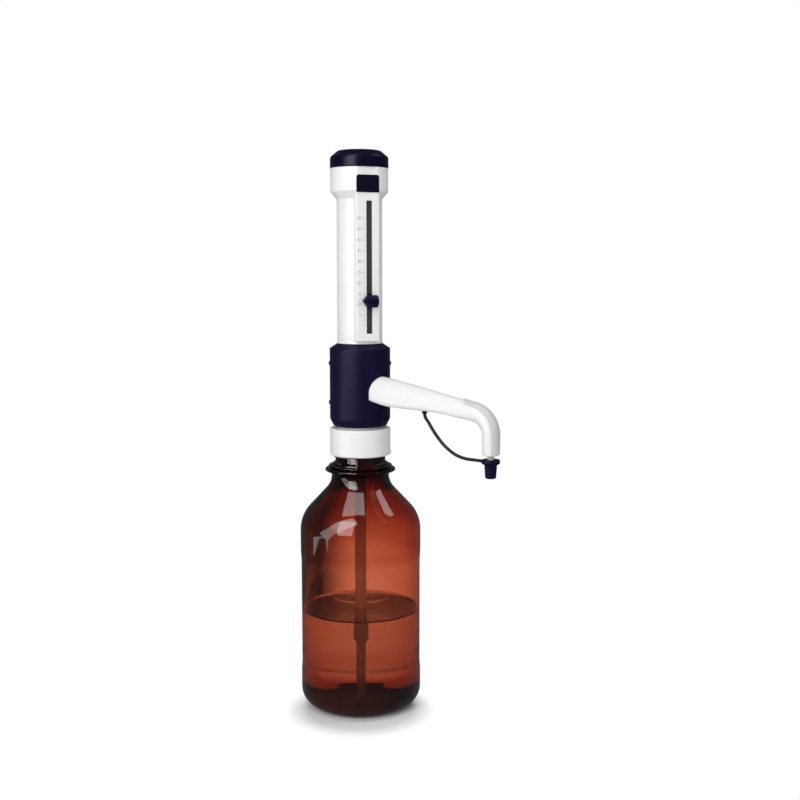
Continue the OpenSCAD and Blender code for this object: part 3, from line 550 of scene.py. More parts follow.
class DISPENSER_OT_stage(bpy.types.Operator):
    """Camera, lamps, white background and floor"""

    bl_idname = "dispenser.stage"
    bl_label = "Stage"

    def execute(self, context):
        stage = context.scene.dispenser_stage
        eye = Vector(stage.eye)
        forward = Vector((-0.643, 0.766, 0)).normalized()
        right = forward.cross(Vector((0, 0, 1)))
        view = (forward * math.cos(stage.pitch) - Vector((0, 0, math.sin(stage.pitch)))).normalized()
        camera = bpy.data.cameras.new("camera")
        camera.lens = stage.lens
        camera.sensor_width = 36
        camera_obj = bpy.data.objects.new("camera", camera)
        camera_obj.location = eye
        camera_obj.rotation_euler = view.to_track_quat("-Z", "Y").to_euler()
        context.scene.collection.objects.link(camera_obj)
        context.scene.camera = camera_obj

        context.scene.view_settings.view_transform = "Standard"

        world = bpy.data.worlds.new("world")
        world.use_nodes = True
        context.scene.world = world
        nodes, links = world.node_tree.nodes, world.node_tree.links
        set_inputs(nodes["Background"], {"Color": (0.98, 0.985, 1, 1), "Strength": stage.ambient})
        path = nodes.new("ShaderNodeLightPath")
        shown = nodes["Background"].outputs["Background"]
        for ray, strength in (("Is Glossy Ray", stage.mirrored), ("Is Transmission Ray", stage.backlight),
                              ("Is Camera Ray", 1.0)):
            backdrop = nodes.new("ShaderNodeBackground")
            set_inputs(backdrop, {"Color": white_light, "Strength": strength})
            shown = mixed(nodes, links, path.outputs[ray], shown, backdrop.outputs["Background"])
        links.new(shown, nodes["World Output"].inputs["Surface"])

        target = (0.02, 0, 0.26)
        key_place = eye - forward * 0.1 - right * 0.6 + Vector((0, 0, 0.4))
        lamp("key_lamp", key_place, target, (0.7, 1.1), stage.key_power)
        fill_place = eye - forward * 0.1 + right * 1.0 + Vector((0, 0, 0.1))
        fill = lamp("fill_lamp", fill_place, target, (0.8, 1.0), stage.fill_power)
        hide_from(fill, "glossy")
        shoulder = Vector((0, 0, 0.185))
        top_lamps = (("top_lamp_left", 0.2, -0.15, 0.81), ("top_lamp_right", -0.04, 0.48, 0.7))
        for name, ahead, aside, up in top_lamps:
            below = shoulder + right * aside
            place = below - forward * ahead + Vector((0, 0, up))
            lamp(name, place, below, (0.52, 0.19), stage.top_power / 2)
        self.streak_lamps(shoulder, forward, right)

        bm = bmesh.new()
        row = [bm.verts.new(forward * 0.24 + right * x) for x in (-0.6, 0.12)]
        made = bmesh.ops.extrude_edge_only(bm, edges=[bm.edges.new(row)])["geom"]
        bmesh.ops.translate(bm, vec=(0, 0, 0.3), verts=only(BMVert, made))
        low_edge = [bm.verts.new(right * 0.071 + Vector((0, 0, z))) for z in (0, 0.008)]
        bmesh.ops.spin(bm, geom=low_edge + [bm.edges.new(low_edge)], cent=(0, 0, 0), axis=(0, 0, 1),
                       angle=math.pi, steps=36)
        card = placed(bm, "glass_backdrop")
        hide_from(card, "camera", "diffuse", "glossy", "shadow")
        card.data.materials.append(self.backdrop_material(stage, right))

        bm = bmesh.new()
        bmesh.ops.create_grid(bm, x_segments=1, y_segments=1, size=4)
        floor = placed(bm, "floor")
        floor.data.materials.append(self.floor_material(stage, forward * -0.02))
        return {"FINISHED"}

    def streak_lamps(self, shoulder, forward, right):
        """Panels at the left that only glossy surfaces show, as one bent streak across the shoulder."""
        places = ((-0.093, -0.487, 0.766), (-0.469, -0.397, 0.333), (-0.504, -0.186, 0.087),
                  (-0.517, 0.052, 0.029))
        corners = [right * aside + forward * ahead + Vector((0, 0, up)) for aside, ahead, up in places]
        panels = (("streak_lamp_a", 0.3, 13), ("streak_lamp_b", 0.22, 8), ("streak_lamp_c", 0.04, 6))
        for (name, width, glow), start, end in zip(panels, corners, corners[1:]):
            length = (end - start).length
            along = (end - start) / length
            middle = (start + end) / 2
            side = (shoulder - middle).cross(along).normalized()
            panel = lamp(name, middle, shoulder, (length, width), glow * length * width)
            panel.rotation_euler = Matrix((along, -side, along.cross(-side))).transposed().to_euler()
            hide_from(panel, "camera", "diffuse", "transmission")

    def backdrop_material(self, stage, right):
        """Backdrop that only glass shows, dark at its left as in a room with a lit wall at the right."""
        material, nodes, links = new_material("glass_backdrop")
        glow = nodes.new("ShaderNodeEmission")
        set_inputs(glow, {"Color": white_light})
        place = nodes.new("ShaderNodeTexCoord")
        across = nodes.new("ShaderNodeVectorMath")
        across.operation = "DOT_PRODUCT"
        across.inputs[1].default_value = right
        links.new(place.outputs["Object"], across.inputs[0])
        links.new(spread(nodes, links, across.outputs["Value"], 0.0, stage.backlight, -0.06, -0.02),
                  glow.inputs["Strength"])
        links.new(glow.outputs["Emission"], nodes["Material Output"].inputs["Surface"])
        return material

    def floor_material(self, stage, shadow_middle):
        """Pale floor that takes the shadow near the object and fades to white further off."""
        material, nodes, links = new_material("floor")
        shader = nodes["Principled BSDF"]
        set_inputs(shader, {"Base Color": (0.86, 0.86, 0.86, 1), "Roughness": 0.9,
                            "Specular IOR Level": 0.1})
        place = nodes.new("ShaderNodeTexCoord")
        far = nodes.new("ShaderNodeVectorMath")
        far.operation = "DISTANCE"
        far.inputs[1].default_value = shadow_middle
        links.new(place.outputs["Object"], far.inputs[0])
        path = nodes.new("ShaderNodeLightPath")
        shown = shader.outputs["BSDF"]
        # Kind of ray, strength, share of it at the object, and the distances over which that share rises
        rays = (("Is Glossy Ray", stage.mirrored, 0.85, 0.06, 0.25),
                ("Is Transmission Ray", stage.backlight, 0.0, 0.103, 0.125),
                ("Is Camera Ray", 1.0, 0.0, 0.044, 0.062))
        for ray, strength, near, start, end in rays:
            glow = nodes.new("ShaderNodeEmission")
            set_inputs(glow, {"Color": white_light, "Strength": strength})
            fade = spread(nodes, links, far.outputs["Value"], near, 1, start, end)
            share = nodes.new("ShaderNodeMath")
            share.operation = "MULTIPLY"
            links.new(fade, share.inputs[0])
            links.new(path.outputs[ray], share.inputs[1])
            shown = mixed(nodes, links, share.outputs["Value"], shown, glow.outputs["Emission"])
        links.new(shown, nodes["Material Output"].inputs["Surface"])
        return material


# Tether

# Route of the tether from the button under the arm to the nozzle cap: share of the way along, and
# height above the nozzle's foot
tether_x = 69.0
tether_end_x = low("nozzle_cap").x - 0.3
tether_route = [(0, 27), (0.017, 24), (0.07, 20.5), (0.137, 15.5), (0.223, 10), (0.325, 4.5), (0.428, 0.5),
                (0.53, -2.5), (0.634, -4.2), (0.737, -5), (0.84, -5), (0.925, -5), (1, -5)]


def smooth_route(points, steps=4):
    """Points of one smooth curve through the route."""
    route = [Vector((tether_x + (tether_end_x - tether_x) * share, 0, nozzle_z + up)) for share, up in points]
    out = []
    for i in range(len(route) - 1):
        a, b, c, d = (route[max(0, min(len(route) - 1, k))] for k in (i - 1, i, i + 1, i + 2))
        for step in range(steps):
            t = step / steps
            out.append(0.5 * (2 * b + (c - a) * t + (2 * a - 5 * b + 4 * c - d) * t * t
                              + (3 * b - a - 3 * c + d) * t ** 3))
    return out + [route[-1]]


def tube_stations(path, radius, sides=16):
    """Rings of a round tube along a path in the XZ plane."""
    stations = []
    for i, point in enumerate(path):
        along = (path[min(i + 1, len(path) - 1)] - path[max(i - 1, 0)]).normalized()
        up = Vector((-along.z, 0, along.x))
        stations.append([point + radius * (math.cos(a) * up + math.sin(a) * Vector((0, 1, 0)))
                         for a in (math.tau * k / sides for k in range(sides))])
    return stations


class DISPENSER_OT_tether(bpy.types.Operator):
    """Black cord that holds the nozzle cap"""

    bl_idname = "dispenser.tether"
    bl_label = "Tether"

    def execute(self, context):
        path = smooth_route(tether_route)
        bm = loft(tube_stations(path, 1.3))
        obj = piece(bm, "tether_cord", None, "black_rubber", even=False)
        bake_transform(obj)
        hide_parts("tether")
        return {"FINISHED"}


# Bottle

class DISPENSER_OT_bottle(bpy.types.Operator):
    """Amber bottle with its drip ring and thread, and the liquid in it"""

    bl_idname = "dispenser.bottle"
    bl_label = "Bottle and liquid"

    def execute(self, context):
        settings = context.scene.dispenser_bottle
        wall = settings.glass_wall / MM
        # Radii of the heel, the shoulder and the sweep into the neck, and the shoulder's lean in degrees
        corner, shoulder, blend, lean = 14.5, 29.5, 16, 43
        body_h = 150.2
        recess, recess_foot, recess_top = 0.55, 27, 134.2
        neck, neck_wall, shoulder_wall = 24, 7.0, 3.6
        neck_z = mouth_z - 27.5
        drip_r = 29.4
        root = 20.9
        outer = arc(bottle_r - corner, corner, corner, -90, 0, 20)
        step = [((1 - math.cos(math.pi * i / 12)) / 2, i) for i in range(13)]
        outer += [(bottle_r, 24)]
        outer += [(bottle_r - recess * share, recess_foot + up) for share, up in step]
        outer += [(bottle_r - recess, 81)]
        outer += [(bottle_r - recess * share, recess_top - up) for share, up in reversed(step)]
        outer += [(bottle_r, 140)]
        outer += arc(bottle_r - shoulder, body_h, shoulder, 0, lean, 18)
        outer += arc(neck + blend, neck_z, blend, 180 + lean, 180, 14)
        outer += [(neck, neck_z + 0.9), (neck + 0.8, neck_z + 1.6), (drip_r - 2.4, neck_z + 3.1)]
        outer += arc(drip_r - 1.2, neck_z + 4.7, 1.2, -70, 70, 8)
        outer += [(drip_r - 3.6, neck_z + 6.2), (drip_r - 4.2, neck_z + 6.6)]
        outer += arc(drip_r - 3.6, neck_z + 7.9, 0.7, -60, 70, 6)
        outer += [(root + 2.6, neck_z + 8.9), (root + 2.4, neck_z + 9.2), (root + 2.4, neck_z + 9.9),
                  (root + 2.0, neck_z + 10.4), (root + 0.3, neck_z + 11.1), (root, neck_z + 11.5)]
        outer += arc(root - 1.5, mouth_z - 1.5, 1.5, 0, 90, 6)
        inner = [(15.2, mouth_z), (15.2, neck_z + 8)]
        for i, (r, z) in enumerate(arc(neck + blend, neck_z, blend, 180, 180 + lean, 14)):
            thick = neck_wall + (shoulder_wall - neck_wall) * i / 14
            a = math.radians(lean * i / 14)
            inner.append((r - thick * math.cos(a), z - thick * math.sin(a)))
        for i in range(1, 19):
            thick = shoulder_wall + (wall - shoulder_wall) * i / 18
            inner.append(arc(bottle_r - shoulder, body_h, shoulder - thick, lean, 0, 18)[i])
        inner += [(bottle_r - wall, z) for z in (130, 110, 90, 70, 50, 30, 22)]
        heel = (bottle_r - corner + 1, corner + 0.5)
        floor_line = [(0, 4.1), (20, 3.9), (31, 3.9)]
        inner += arc(*heel, corner - wall - 1, 0, -80, 16) + floor_line[::-1]
        foot = [(0, 1.6), (20, 1.5), (29, 1.1), (32.5, 0.35)]
        bm = lathe(foot + outer + inner, steps=192, closed=False)
        # The inner floor faces get a second, opaque near-black material: painted shade that stands in for the
        # dark thick base and its shadow, seen through the liquid
        for face in bm.faces:
            middle = face.calc_center_median()
            on_floor = middle.z < 9 and middle.xy.length < 38 and face.normal.z > 0.3
            face.material_index = 1 if on_floor else 0
        add_to(bm, self.thread(root))
        bottle = piece(bm, "bottle_glass", "reservoir", "amber_glass", ["bottle"], sharp=60, even=False)
        # Second material: the painted shade of the inner floor
        bottle.data.materials.append(finish_of("amber_floor_painted_shade"))

        level = settings.liquid_level / MM
        wet = 0.25
        radius = bottle_r - wall + wet
        pool = [(r, z - wet) for r, z in floor_line]
        pool += arc(*heel, corner - wall - 1 + wet, -80, 0, 16)
        pool += [(radius, 30), (radius, level + 1.8), (radius - 0.6, level + 0.9),
                 (radius - 1.6, level + 0.25), (radius - 3, level), (0, level)]
        liquid = lathe(pool, steps=192, closed=False)
        piece(liquid, "liquid_fill", "reservoir", "liquid", sharp=60, even=False)
        return {"FINISHED"}

    def thread(self, root):
        """Two turns of the neck's thread."""
        pitch, turns, steps = 4, 2, 144
        low_z = mouth_z - 12.6
        bm = bmesh.new()
        profile = [(root - 0.3, -1.1), (22.1, -0.65), (22.3, -0.4), (22.3, 0.4), (22.1, 0.65),
                   (root - 0.3, 1.1)]
        ring = [bm.verts.new((r, 0, low_z + z)) for r, z in profile]
        edges = [bm.edges.new(pair) for pair in zip(ring, ring[1:] + ring[:1])]
        bmesh.ops.spin(bm, geom=ring + edges, cent=(0, 0, 0), axis=(0, 0, 1), angle=math.tau * turns,
                       dvec=(0, 0, pitch * turns / steps), steps=steps, use_merge=False)
        bmesh.ops.holes_fill(bm, edges=[e for e in bm.edges if e.is_boundary], sides=0)
        bmesh.ops.recalc_face_normals(bm, faces=bm.faces)
        start = Matrix.Rotation(math.radians(130), 3, "Z")
        bmesh.ops.rotate(bm, cent=(0, 0, 0), matrix=start, verts=bm.verts)
        return bm


# Collar

class DISPENSER_OT_collar(bpy.types.Operator):
    """White threaded collar on the neck, with its vent plug"""

    bl_idname = "dispenser.collar"
    bl_label = "Collar"

    def execute(self, context):
        bore = 22.75
        lip_z = mouth_z + 1.5 + 4.7
        outline = [(bore, collar_z, 0.3), (collar_r - 0.1, collar_z, 1.2), (collar_r, collar_top, 1.4),
                   (19.4, collar_top, 0.4), (19.4, lip_z), (bore, lip_z)]
        piece(lathe(outline), "collar_ring", "collar", "white_plastic", ["adapter_collar"])

        plug = lathe([(0, 0.02), (2.0, 0.02, 0.1), (1.75, 0.92, 0.25), (0.9, 0.92, 0.1), (0.7, 0.6, 0.1),
                      (0, 0.6)], steps=32, closed=False)
        add_to(plug, lathe([(0, -2.4), (1.7, -2.4), (1.7, 0.2), (0, 0.2)], steps=32, closed=False))
        place = turned(28) @ Matrix.Translation((collar_r, 0, collar_z + 2.7)) @ turned(90, "Y")
        piece(plug, "vent_nub", "collar", "white_plastic", ["vent_plug"], turn=place)
        return {"FINISHED"}


# Housing

class DISPENSER_OT_housing(bpy.types.Operator):
    """Dark blue housing round the valves, with its arch and snap clips"""

    bl_idname = "dispenser.housing"
    bl_label = "Valve housing"

    def execute(self, context):
        inner = housing_r - 2.4
        outline = [(19.3, housing_z, 0.3), (housing_r - 3.1, housing_z, 0.5),
                   (housing_r, housing_z + 5.9, 0.7), (housing_r, housing_top - 3.9, 0.7),
                   (19.0, housing_top, 0.4), (17.0, housing_top, 0.3), (17.0, housing_top - 2),
                   (inner, housing_top - 4.8), (inner, housing_z + 5.3), (inner - 2, housing_z + 2.4),
                   (19.3, housing_z + 2.4)]
        bm = lathe(outline, steps=144)
        arch = arc(0, arch_z, arch_r, 0, 180, 48)
        cutter = prism([(arch_r, arch_foot)] + arch + [(-arch_r, arch_foot)], 6, 30)
        bm = combine(bm, cutter, "DIFFERENCE")
        round_edges(bm, 0.35, choose=self.on_arch_rim, angle=40, segments=2)
        piece(bm, "housing_shell", "instrument", "navy_plastic", ["valve_housing"])

        tabs = bmesh.new()
        for azimuth in (40, 220):
            for height in (19.3, 52):
                z = housing_z + height
                tab = block((housing_r - 2.9, -2.5, z - 1.5), (housing_r + 0.8, 2.5, z + 1.5))
                round_edges(tab, 0.45)
                bmesh.ops.transform(tab, matrix=turned(azimuth), verts=tab.verts)
                add_to(tabs, tab)
        piece(tabs, "housing_tabs", "instrument", "navy_plastic", ["housing_clips"])
        return {"FINISHED"}

    def on_arch_rim(self, edge):
        """True for an edge of the arch on the housing's outer side."""
        return all(v.co.x > 0 and v.co.xy.length > housing_r - 0.3 and abs(v.co.y) < arch_r + 0.1
                   and v.co.z < arch_z + arch_r + 0.8 for v in edge.verts)


# Discharge arm

elbow_r = 18.0
slope = math.radians(5)
line_x0 = 19.2
elbow_z = nozzle_z + 15
elbow_x = nozzle_x - elbow_r
line_x1 = elbow_x + elbow_r * math.sin(slope)
line_z1 = elbow_z + elbow_r * math.cos(slope)
line_len = (line_x1 - line_x0) / math.cos(slope)
elbow_len = elbow_r * (math.pi / 2 - slope)
arm_len = line_len + elbow_len + elbow_z - nozzle_z

# Distance along the arm, half width, rise on its outer side, rise on its inner side, and squareness below
arm_table = [(0, 13, 13.1, 7, 0.85), (5, 13, 13.1, 7.1, 0.82), (15, 12.3, 12.6, 9.2, 0.77),
             (50, 9.6, 10.4, 7.2, 0.62), (line_len - 33, 8.5, 8.9, 6, 0.56),
             (line_len - 9, 7.2, 7.2, 6.9, 0.36),
             (line_len, 6.8, 6.4, 7.4, 0.25), (line_len + elbow_len / 2, 6.8, 6, 7.2, 0),
             (line_len + elbow_len, 6.8, 6, 7.2, 0), (arm_len, 6.3, 5.8, 6.6, 0)]


def line_z(x):
    """Height of the arm's middle line on its straight run."""
    return line_z1 + (line_x1 - x) * math.tan(slope)


# Arch of the housing that the arm comes out of
arch_r = 13.2
arch_z = line_z(housing_r) + 0.6
arch_foot = arch_z - 7.5

# Where the hood starts along the arm, and the length of its tongue
hood_start = line_len - 10
hood_tongue = 12


def line_at(t):
    """Point of the arm's middle line at distance t, and its lean from level."""
    if t <= line_len:
        x = line_x0 + t * math.cos(slope)
        return Vector((x, 0, line_z(x))), slope
    if t <= line_len + elbow_len:
        a = slope + (t - line_len) / elbow_r
        return Vector((elbow_x + elbow_r * math.sin(a), 0, elbow_z + elbow_r * math.cos(a))), a
    return Vector((nozzle_x, 0, elbow_z - (t - line_len - elbow_len))), math.pi / 2


def arm_size(t, column):
    """Size from the arm's table, eased over a few millimetres."""
    at = [row[0] for row in arm_table]
    values = [row[column] for row in arm_table]
    ease = min(6.0, t, arm_len - t)
    return float(np.mean([np.interp(t + ease * k, at, values) for k in (-1, -0.5, 0, 0.5, 1)]))


def section(t, a, grow):
    """Point of the arm's section at angle a from its outer side."""
    middle, lean = line_at(t)
    outside = math.cos(a) >= 0
    width = arm_size(t, 1) + grow
    rise = arm_size(t, 2 if outside else 3) + grow
    power = 2 if outside else 2 + 6 * arm_size(t, 4)
    k = (abs(math.cos(a)) ** power + abs(math.sin(a)) ** power) ** (-1 / power)
    up = rise * k * math.cos(a)
    return middle + Vector((up * math.sin(lean), width * k * math.sin(a), up * math.cos(lean)))


def section_ring(t, grow, sides=64):
    """Closed ring of the arm's section."""
    return [section(t, math.tau * i / sides, grow) for i in range(sides)]


class DISPENSER_OT_arm(bpy.types.Operator):
    """White discharge arm, its hood, whose grey is painted shade of the elbow's far side, and the tether's
    button
    """

    bl_idname = "dispenser.arm"
    bl_label = "Discharge arm"

    def execute(self, context):
        stops = list(np.arange(0, line_len, 3.5))
        stops += [line_len + elbow_len * i / 16 for i in range(17)]
        stops += [arm_len - 10, arm_len - 5, arm_len - 1.6, arm_len - 0.8, arm_len]
        walls = [0, line_len + elbow_len, arm_len - 8, arm_len]
        depths = [1.8, 1.8, 1.1, 1.1]
        outer = [section_ring(t, 0 if t < arm_len - 0.5 else -0.7) for t in stops]
        inner = [section_ring(t, -float(np.interp(t, walls, depths))) for t in reversed(stops)]
        piece(loft(outer + inner, joined=True), "arm_skin", "instrument", "white_plastic", ["arm_shell"])

        marks = [hood_start + d for d in (0, 0.25, 0.6, 1.1, 1.8, 2.8, 4, 5.5, 7.5, 10, hood_tongue)]
        marks += [hood_start + hood_tongue + (arm_len - 0.8 - hood_start - hood_tongue) * i / 20
                  for i in range(1, 21)]
        # The hood's grey is painted shade of the elbow's far side
        hood = loft([self.hood_ring(t) for t in marks])
        round_edges(hood, 0.3, angle=50, segments=3)
        piece(hood, "hood_shell", "instrument", "light_grey_plastic", ["nozzle_hood"], sharp=50)

        floor_z = low("tether_anchor").z
        roof_z = high("tether_anchor").z
        button = lathe([(0, floor_z), (1.7, floor_z, 0.3), (2.2, floor_z + 1.2, 0.4), (2.2, roof_z),
                        (0, roof_z)], steps=32, closed=False)
        piece(button, "tether_button", "instrument", "black_rubber", ["tether_anchor"],
              turn=Matrix.Translation((tether_x, 0, 0)))
        return {"FINISHED"}

    def hood_ring(self, t):
        """Section of the hood: an arc over the arm's outer side, there and back."""
        lean_in = max(0.0, 1 - (t - hood_start) / hood_tongue)
        spread_at = math.radians(50) * math.sqrt(max(0.03, 1 - lean_in ** 2))
        sides = 14
        angles = [spread_at * i / sides for i in range(-sides, sides + 1)]
        return [section(t, a, 0.9) for a in angles] + [section(t, a, 0.04) for a in reversed(angles)]


# Nozzle

class DISPENSER_OT_nozzle(bpy.types.Operator):
    """Clear nozzle tip and its dark blue cap"""

    bl_idname = "dispenser.nozzle"
    bl_label = "Nozzle and cap"

    def execute(self, context):
        place = Matrix.Translation((nozzle_x, 0, 0))
        tip_foot = low("nozzle_tip").z
        tip = lathe([(1.5, tip_foot, 0.2), (2.6, tip_foot, 0.3), (2.6, nozzle_z), (4.6, nozzle_z, 0.4),
                     (4.6, nozzle_z + 7, 0.3), (1.5, nozzle_z + 7, 0.2)], steps=64)
        piece(tip, "tip_tube", "instrument", "clear_tube", ["nozzle_tip"], turn=place)

        top = high("nozzle_cap").z
        foot = low("nozzle_cap").z
        flange = high("nozzle_cap").y
        cap = lathe([(0, foot + 2.4), (2.7, foot + 2.4), (2.7, top, 0.2), (flange, top, 0.7),
                     (flange, top - 3.2, 0.7), (4.9, top - 4.2, 0.5), (4.2, foot, 1.3), (0, foot)],
                    steps=64, closed=False)
        piece(cap, "nozzle_cup", "nozzle_closure", "navy_plastic", ["nozzle_cap"], turn=place)
        return {"FINISHED"}


# Sleeve and scale

panel_z = sleeve_z + 2.4
slot_z = panel_z + 6.2
slot_top = sleeve_top - 2.1


class DISPENSER_OT_sleeve(bpy.types.Operator):
    """White lifting sleeve with its raised panel, its slot and the rack strip in it"""

    bl_idname = "dispenser.sleeve"
    bl_label = "Sleeve"

    def execute(self, context):
        inner = sleeve_r - 1.6
        bm = lathe([(inner, sleeve_z, 0.2), (sleeve_r + 0.7, sleeve_z, 0.4), (sleeve_r, sleeve_z + 2, 0.3),
                    (sleeve_r, sleeve_top), (inner, sleeve_top)], steps=144)
        panel = block((10, -panel_w / 2, panel_z), (panel_d, panel_w / 2, sleeve_top + 4.6))
        round_edges(panel, 1.1, choose=lambda e: all(v.co.x > panel_d - 0.01 for v in e.verts)
                    and max(v.co.z for v in e.verts) - min(v.co.z for v in e.verts) > 10, segments=4)
        round_edges(panel, 0.5, choose=lambda e: all(v.co.z < panel_z + 0.01 for v in e.verts), angle=60)
        bore = lathe([(0, panel_z - 3), (inner, panel_z - 3), (inner, sleeve_top + 0.001),
                      (0, sleeve_top + 0.001)], steps=144, closed=False)
        channel = block((panel_d - 4.1, slot_y - 5.5, slot_z - 1),
                        (panel_d - 1.3, slot_y + 5.5, slot_top + 0.8))
        slot = block((panel_d - 1.9, slot_y - slot_w / 2, slot_z),
                     (panel_d + 2, slot_y + slot_w / 2, slot_top))
        round_edges(slot, 0.5, choose=lambda e: abs(e.verts[0].co.x - e.verts[1].co.x) > 1)
        bm = combine(bm, panel, "UNION")
        for cutter in (bore, channel, slot):
            bm = combine(bm, cutter, "DIFFERENCE")
        round_edges(bm, 0.3, choose=self.on_slot_rim, angle=60, segments=2)
        piece(bm, "sleeve_shell", "plunger", "white_plastic", ["outer_sleeve"], turn=panel_turn)

        # The rack strip's dark grey is painted shade of the slot's inside
        front = panel_d - 4.1 + 0.8
        strip = block((front - 0.8, slot_y - 3, slot_z - 0.8), (front - 0.2, slot_y + 3, slot_top + 0.6))
        pitch = 1.6
        for i in range(int((slot_top - slot_z) / pitch)):
            z = slot_z + pitch * (i + 0.5)
            tooth = block((front - 0.3, slot_y - 2.6, z - 0.35), (front, slot_y + 2.6, z + 0.35))
            add_to(strip, tooth)
        piece(strip, "rack_teeth", "plunger", "dark_grey_plastic", ["rack_strip"], turn=panel_turn)
        return {"FINISHED"}

    def on_slot_rim(self, edge):
        """True for an edge of the slot on the panel's face."""
        return all(abs(v.co.x - panel_d) < 0.01 and abs(v.co.y - slot_y) < slot_w / 2 + 0.01
                   for v in edge.verts)


class DISPENSER_OT_scale(bpy.types.Operator):
    """Marks and plain numbers printed beside the slot"""

    bl_idname = "dispenser.scale"
    bl_label = "Scale"

    def execute(self, context):
        scale = context.scene.dispenser_scale
        zero = scale.zero_z / MM
        step = scale.stroke / MM / scale.volume
        edge = slot_y - slot_w / 2 - 0.7
        ink = bmesh.new()
        for millilitre in range(scale.volume + 1):
            fifth = millilitre % 5 == 0
            length = 3.4 if fifth else 2.0
            half = 0.16 if fifth else 0.1
            z = zero + step * millilitre
            add_to(ink, block((panel_d - 0.02, edge - length, z - half), (panel_d + 0.03, edge, z + half)))
            if fifth and millilitre:
                add_to(ink, self.number(str(millilitre), scale.number_h / MM, edge - 3.9, z))
        piece(ink, "scale_marks", "plunger", "scale_print", turn=panel_turn, even=False)
        return {"FINISHED"}

    def number(self, text, size, right, z):
        """A number as a thin mesh that ends at its right side."""
        curve = bpy.data.curves.new("number", "FONT")
        curve.body = text
        curve.size = size * 1.4
        curve.align_x = "RIGHT"
        curve.align_y = "CENTER"
        curve.extrude = 0.03
        obj = bpy.data.objects.new("number", curve)
        bpy.context.scene.collection.objects.link(obj)
        bpy.context.view_layer.update()
        mesh = bpy.data.meshes.new_from_object(obj.evaluated_get(bpy.context.evaluated_depsgraph_get()))
        bm = bmesh.new()
        bm.from_mesh(mesh)
        bpy.data.objects.remove(obj)
        bpy.data.curves.remove(curve)
        bpy.data.meshes.remove(mesh)
        bmesh.ops.remove_doubles(bm, verts=bm.verts, dist=0.0001)
        upright = Matrix(((0, 0, 1, panel_d), (1, 0, 0, right), (0, 1, 0, z), (0, 0, 0, 1)))
        bmesh.ops.transform(bm, matrix=upright, verts=bm.verts)
        return bm


class DISPENSER_OT_pointer(bpy.types.Operator):
    """Dark blue pointer knob with the pin behind it"""

    bl_idname = "dispenser.pointer"
    bl_label = "Pointer"

    def execute(self, context):
        face = panel_d + 1.4
        thick, ridge_h = 5.6, 2.6
        half = 5.05
        corners = ((-7, 0.3), (-3, half), (5.1, half), (5.9, half - 0.8), (5.9, 0.8 - half), (5.1, -half),
                   (-3, -half))
        bm = bmesh.new()
        base = bm.faces.new([bm.verts.new((face, slot_y + y, knob_z + z)) for y, z in corners])
        sides = bmesh.ops.extrude_face_region(bm, geom=[base])["geom"]
        bmesh.ops.translate(bm, vec=(thick - ridge_h, 0, 0), verts=only(BMVert, sides))
        front = only(BMFace, sides)[0]
        ridge = bmesh.ops.extrude_face_region(bm, geom=[front])["geom"]
        tops = only(BMVert, ridge)
        bmesh.ops.delete(bm, geom=[front], context="FACES_ONLY")
        bmesh.ops.translate(bm, vec=(ridge_h, 0, 0), verts=tops)
        bmesh.ops.scale(bm, vec=(1, 1, 0.42), verts=tops, space=Matrix.Translation((0, 0, -knob_z)))
        bmesh.ops.recalc_face_normals(bm, faces=bm.faces)
        round_edges(bm, 0.4, angle=20, segments=3)
        pin = lathe([(0, -3.0), (1.5, -3.0), (1.5, 0.2), (0, 0.2)], steps=32, closed=False)
        place = Matrix.Translation((face, slot_y, knob_z)) @ turned(90, "Y")
        bmesh.ops.transform(pin, matrix=place, verts=pin.verts)
        add_to(bm, pin)
        piece(bm, "pointer_arrow", "pointer_button", "pointer_blue", ["pointer_knob"], turn=panel_turn)
        return {"FINISHED"}


# Head and cap

class DISPENSER_OT_head(bpy.types.Operator):
    """White head with its blank plate"""

    bl_idname = "dispenser.head"
    bl_label = "Head and plate"

    def execute(self, context):
        spigot_r = sleeve_r - 1.65
        floor_z = sleeve_top + 4
        base_z = sleeve_top + 0.02
        spigot_foot = sleeve_top - 7.5
        well_z = sleeve_top + 8
        rod_hole_r, well_r, mouth_r = 4.02, 15, 19.4
        outline = [(rod_hole_r, base_z), (spigot_r - 2, base_z), (spigot_r - 2, spigot_foot),
                   (spigot_r, spigot_foot), (spigot_r, base_z), (sleeve_r, base_z, 0.2),
                   (head_r, sleeve_top + 5.8, 0.9), (head_r, head_top, 0.3), (mouth_r, head_top, 0.3),
                   (mouth_r, well_z), (well_r, well_z), (well_r, floor_z), (rod_hole_r, floor_z)]
        bm = lathe(outline, steps=144)
        rim = slice_off(bm, (panel_d, 0, 0), (1, 0, 0))
        bmesh.ops.holes_fill(bm, edges=rim, sides=0)
        bmesh.ops.recalc_face_normals(bm, faces=bm.faces)
        piece(bm, "head_body", "plunger", "white_plastic", ["head_shell"], turn=panel_turn)

        half = (panel_w - 1) / 2
        z0 = sleeve_top + 4.4
        z1 = sleeve_top + 18.3
        plate = prism([(-half, z0), (half, z0)] + arc(half - 2, z1 - 2, 2, 0, 90, 8)
                      + arc(-half + 2, z1 - 2, 2, 90, 180, 8), panel_d - 0.3, 0.9)
        front = panel_d + 0.5
        round_edges(plate, 0.2, choose=lambda e: all(v.co.x > front for v in e.verts), angle=60, segments=2)
        piece(plate, "head_plate", "plunger", "label_blue", ["label_plate"], turn=panel_turn)
        return {"FINISHED"}


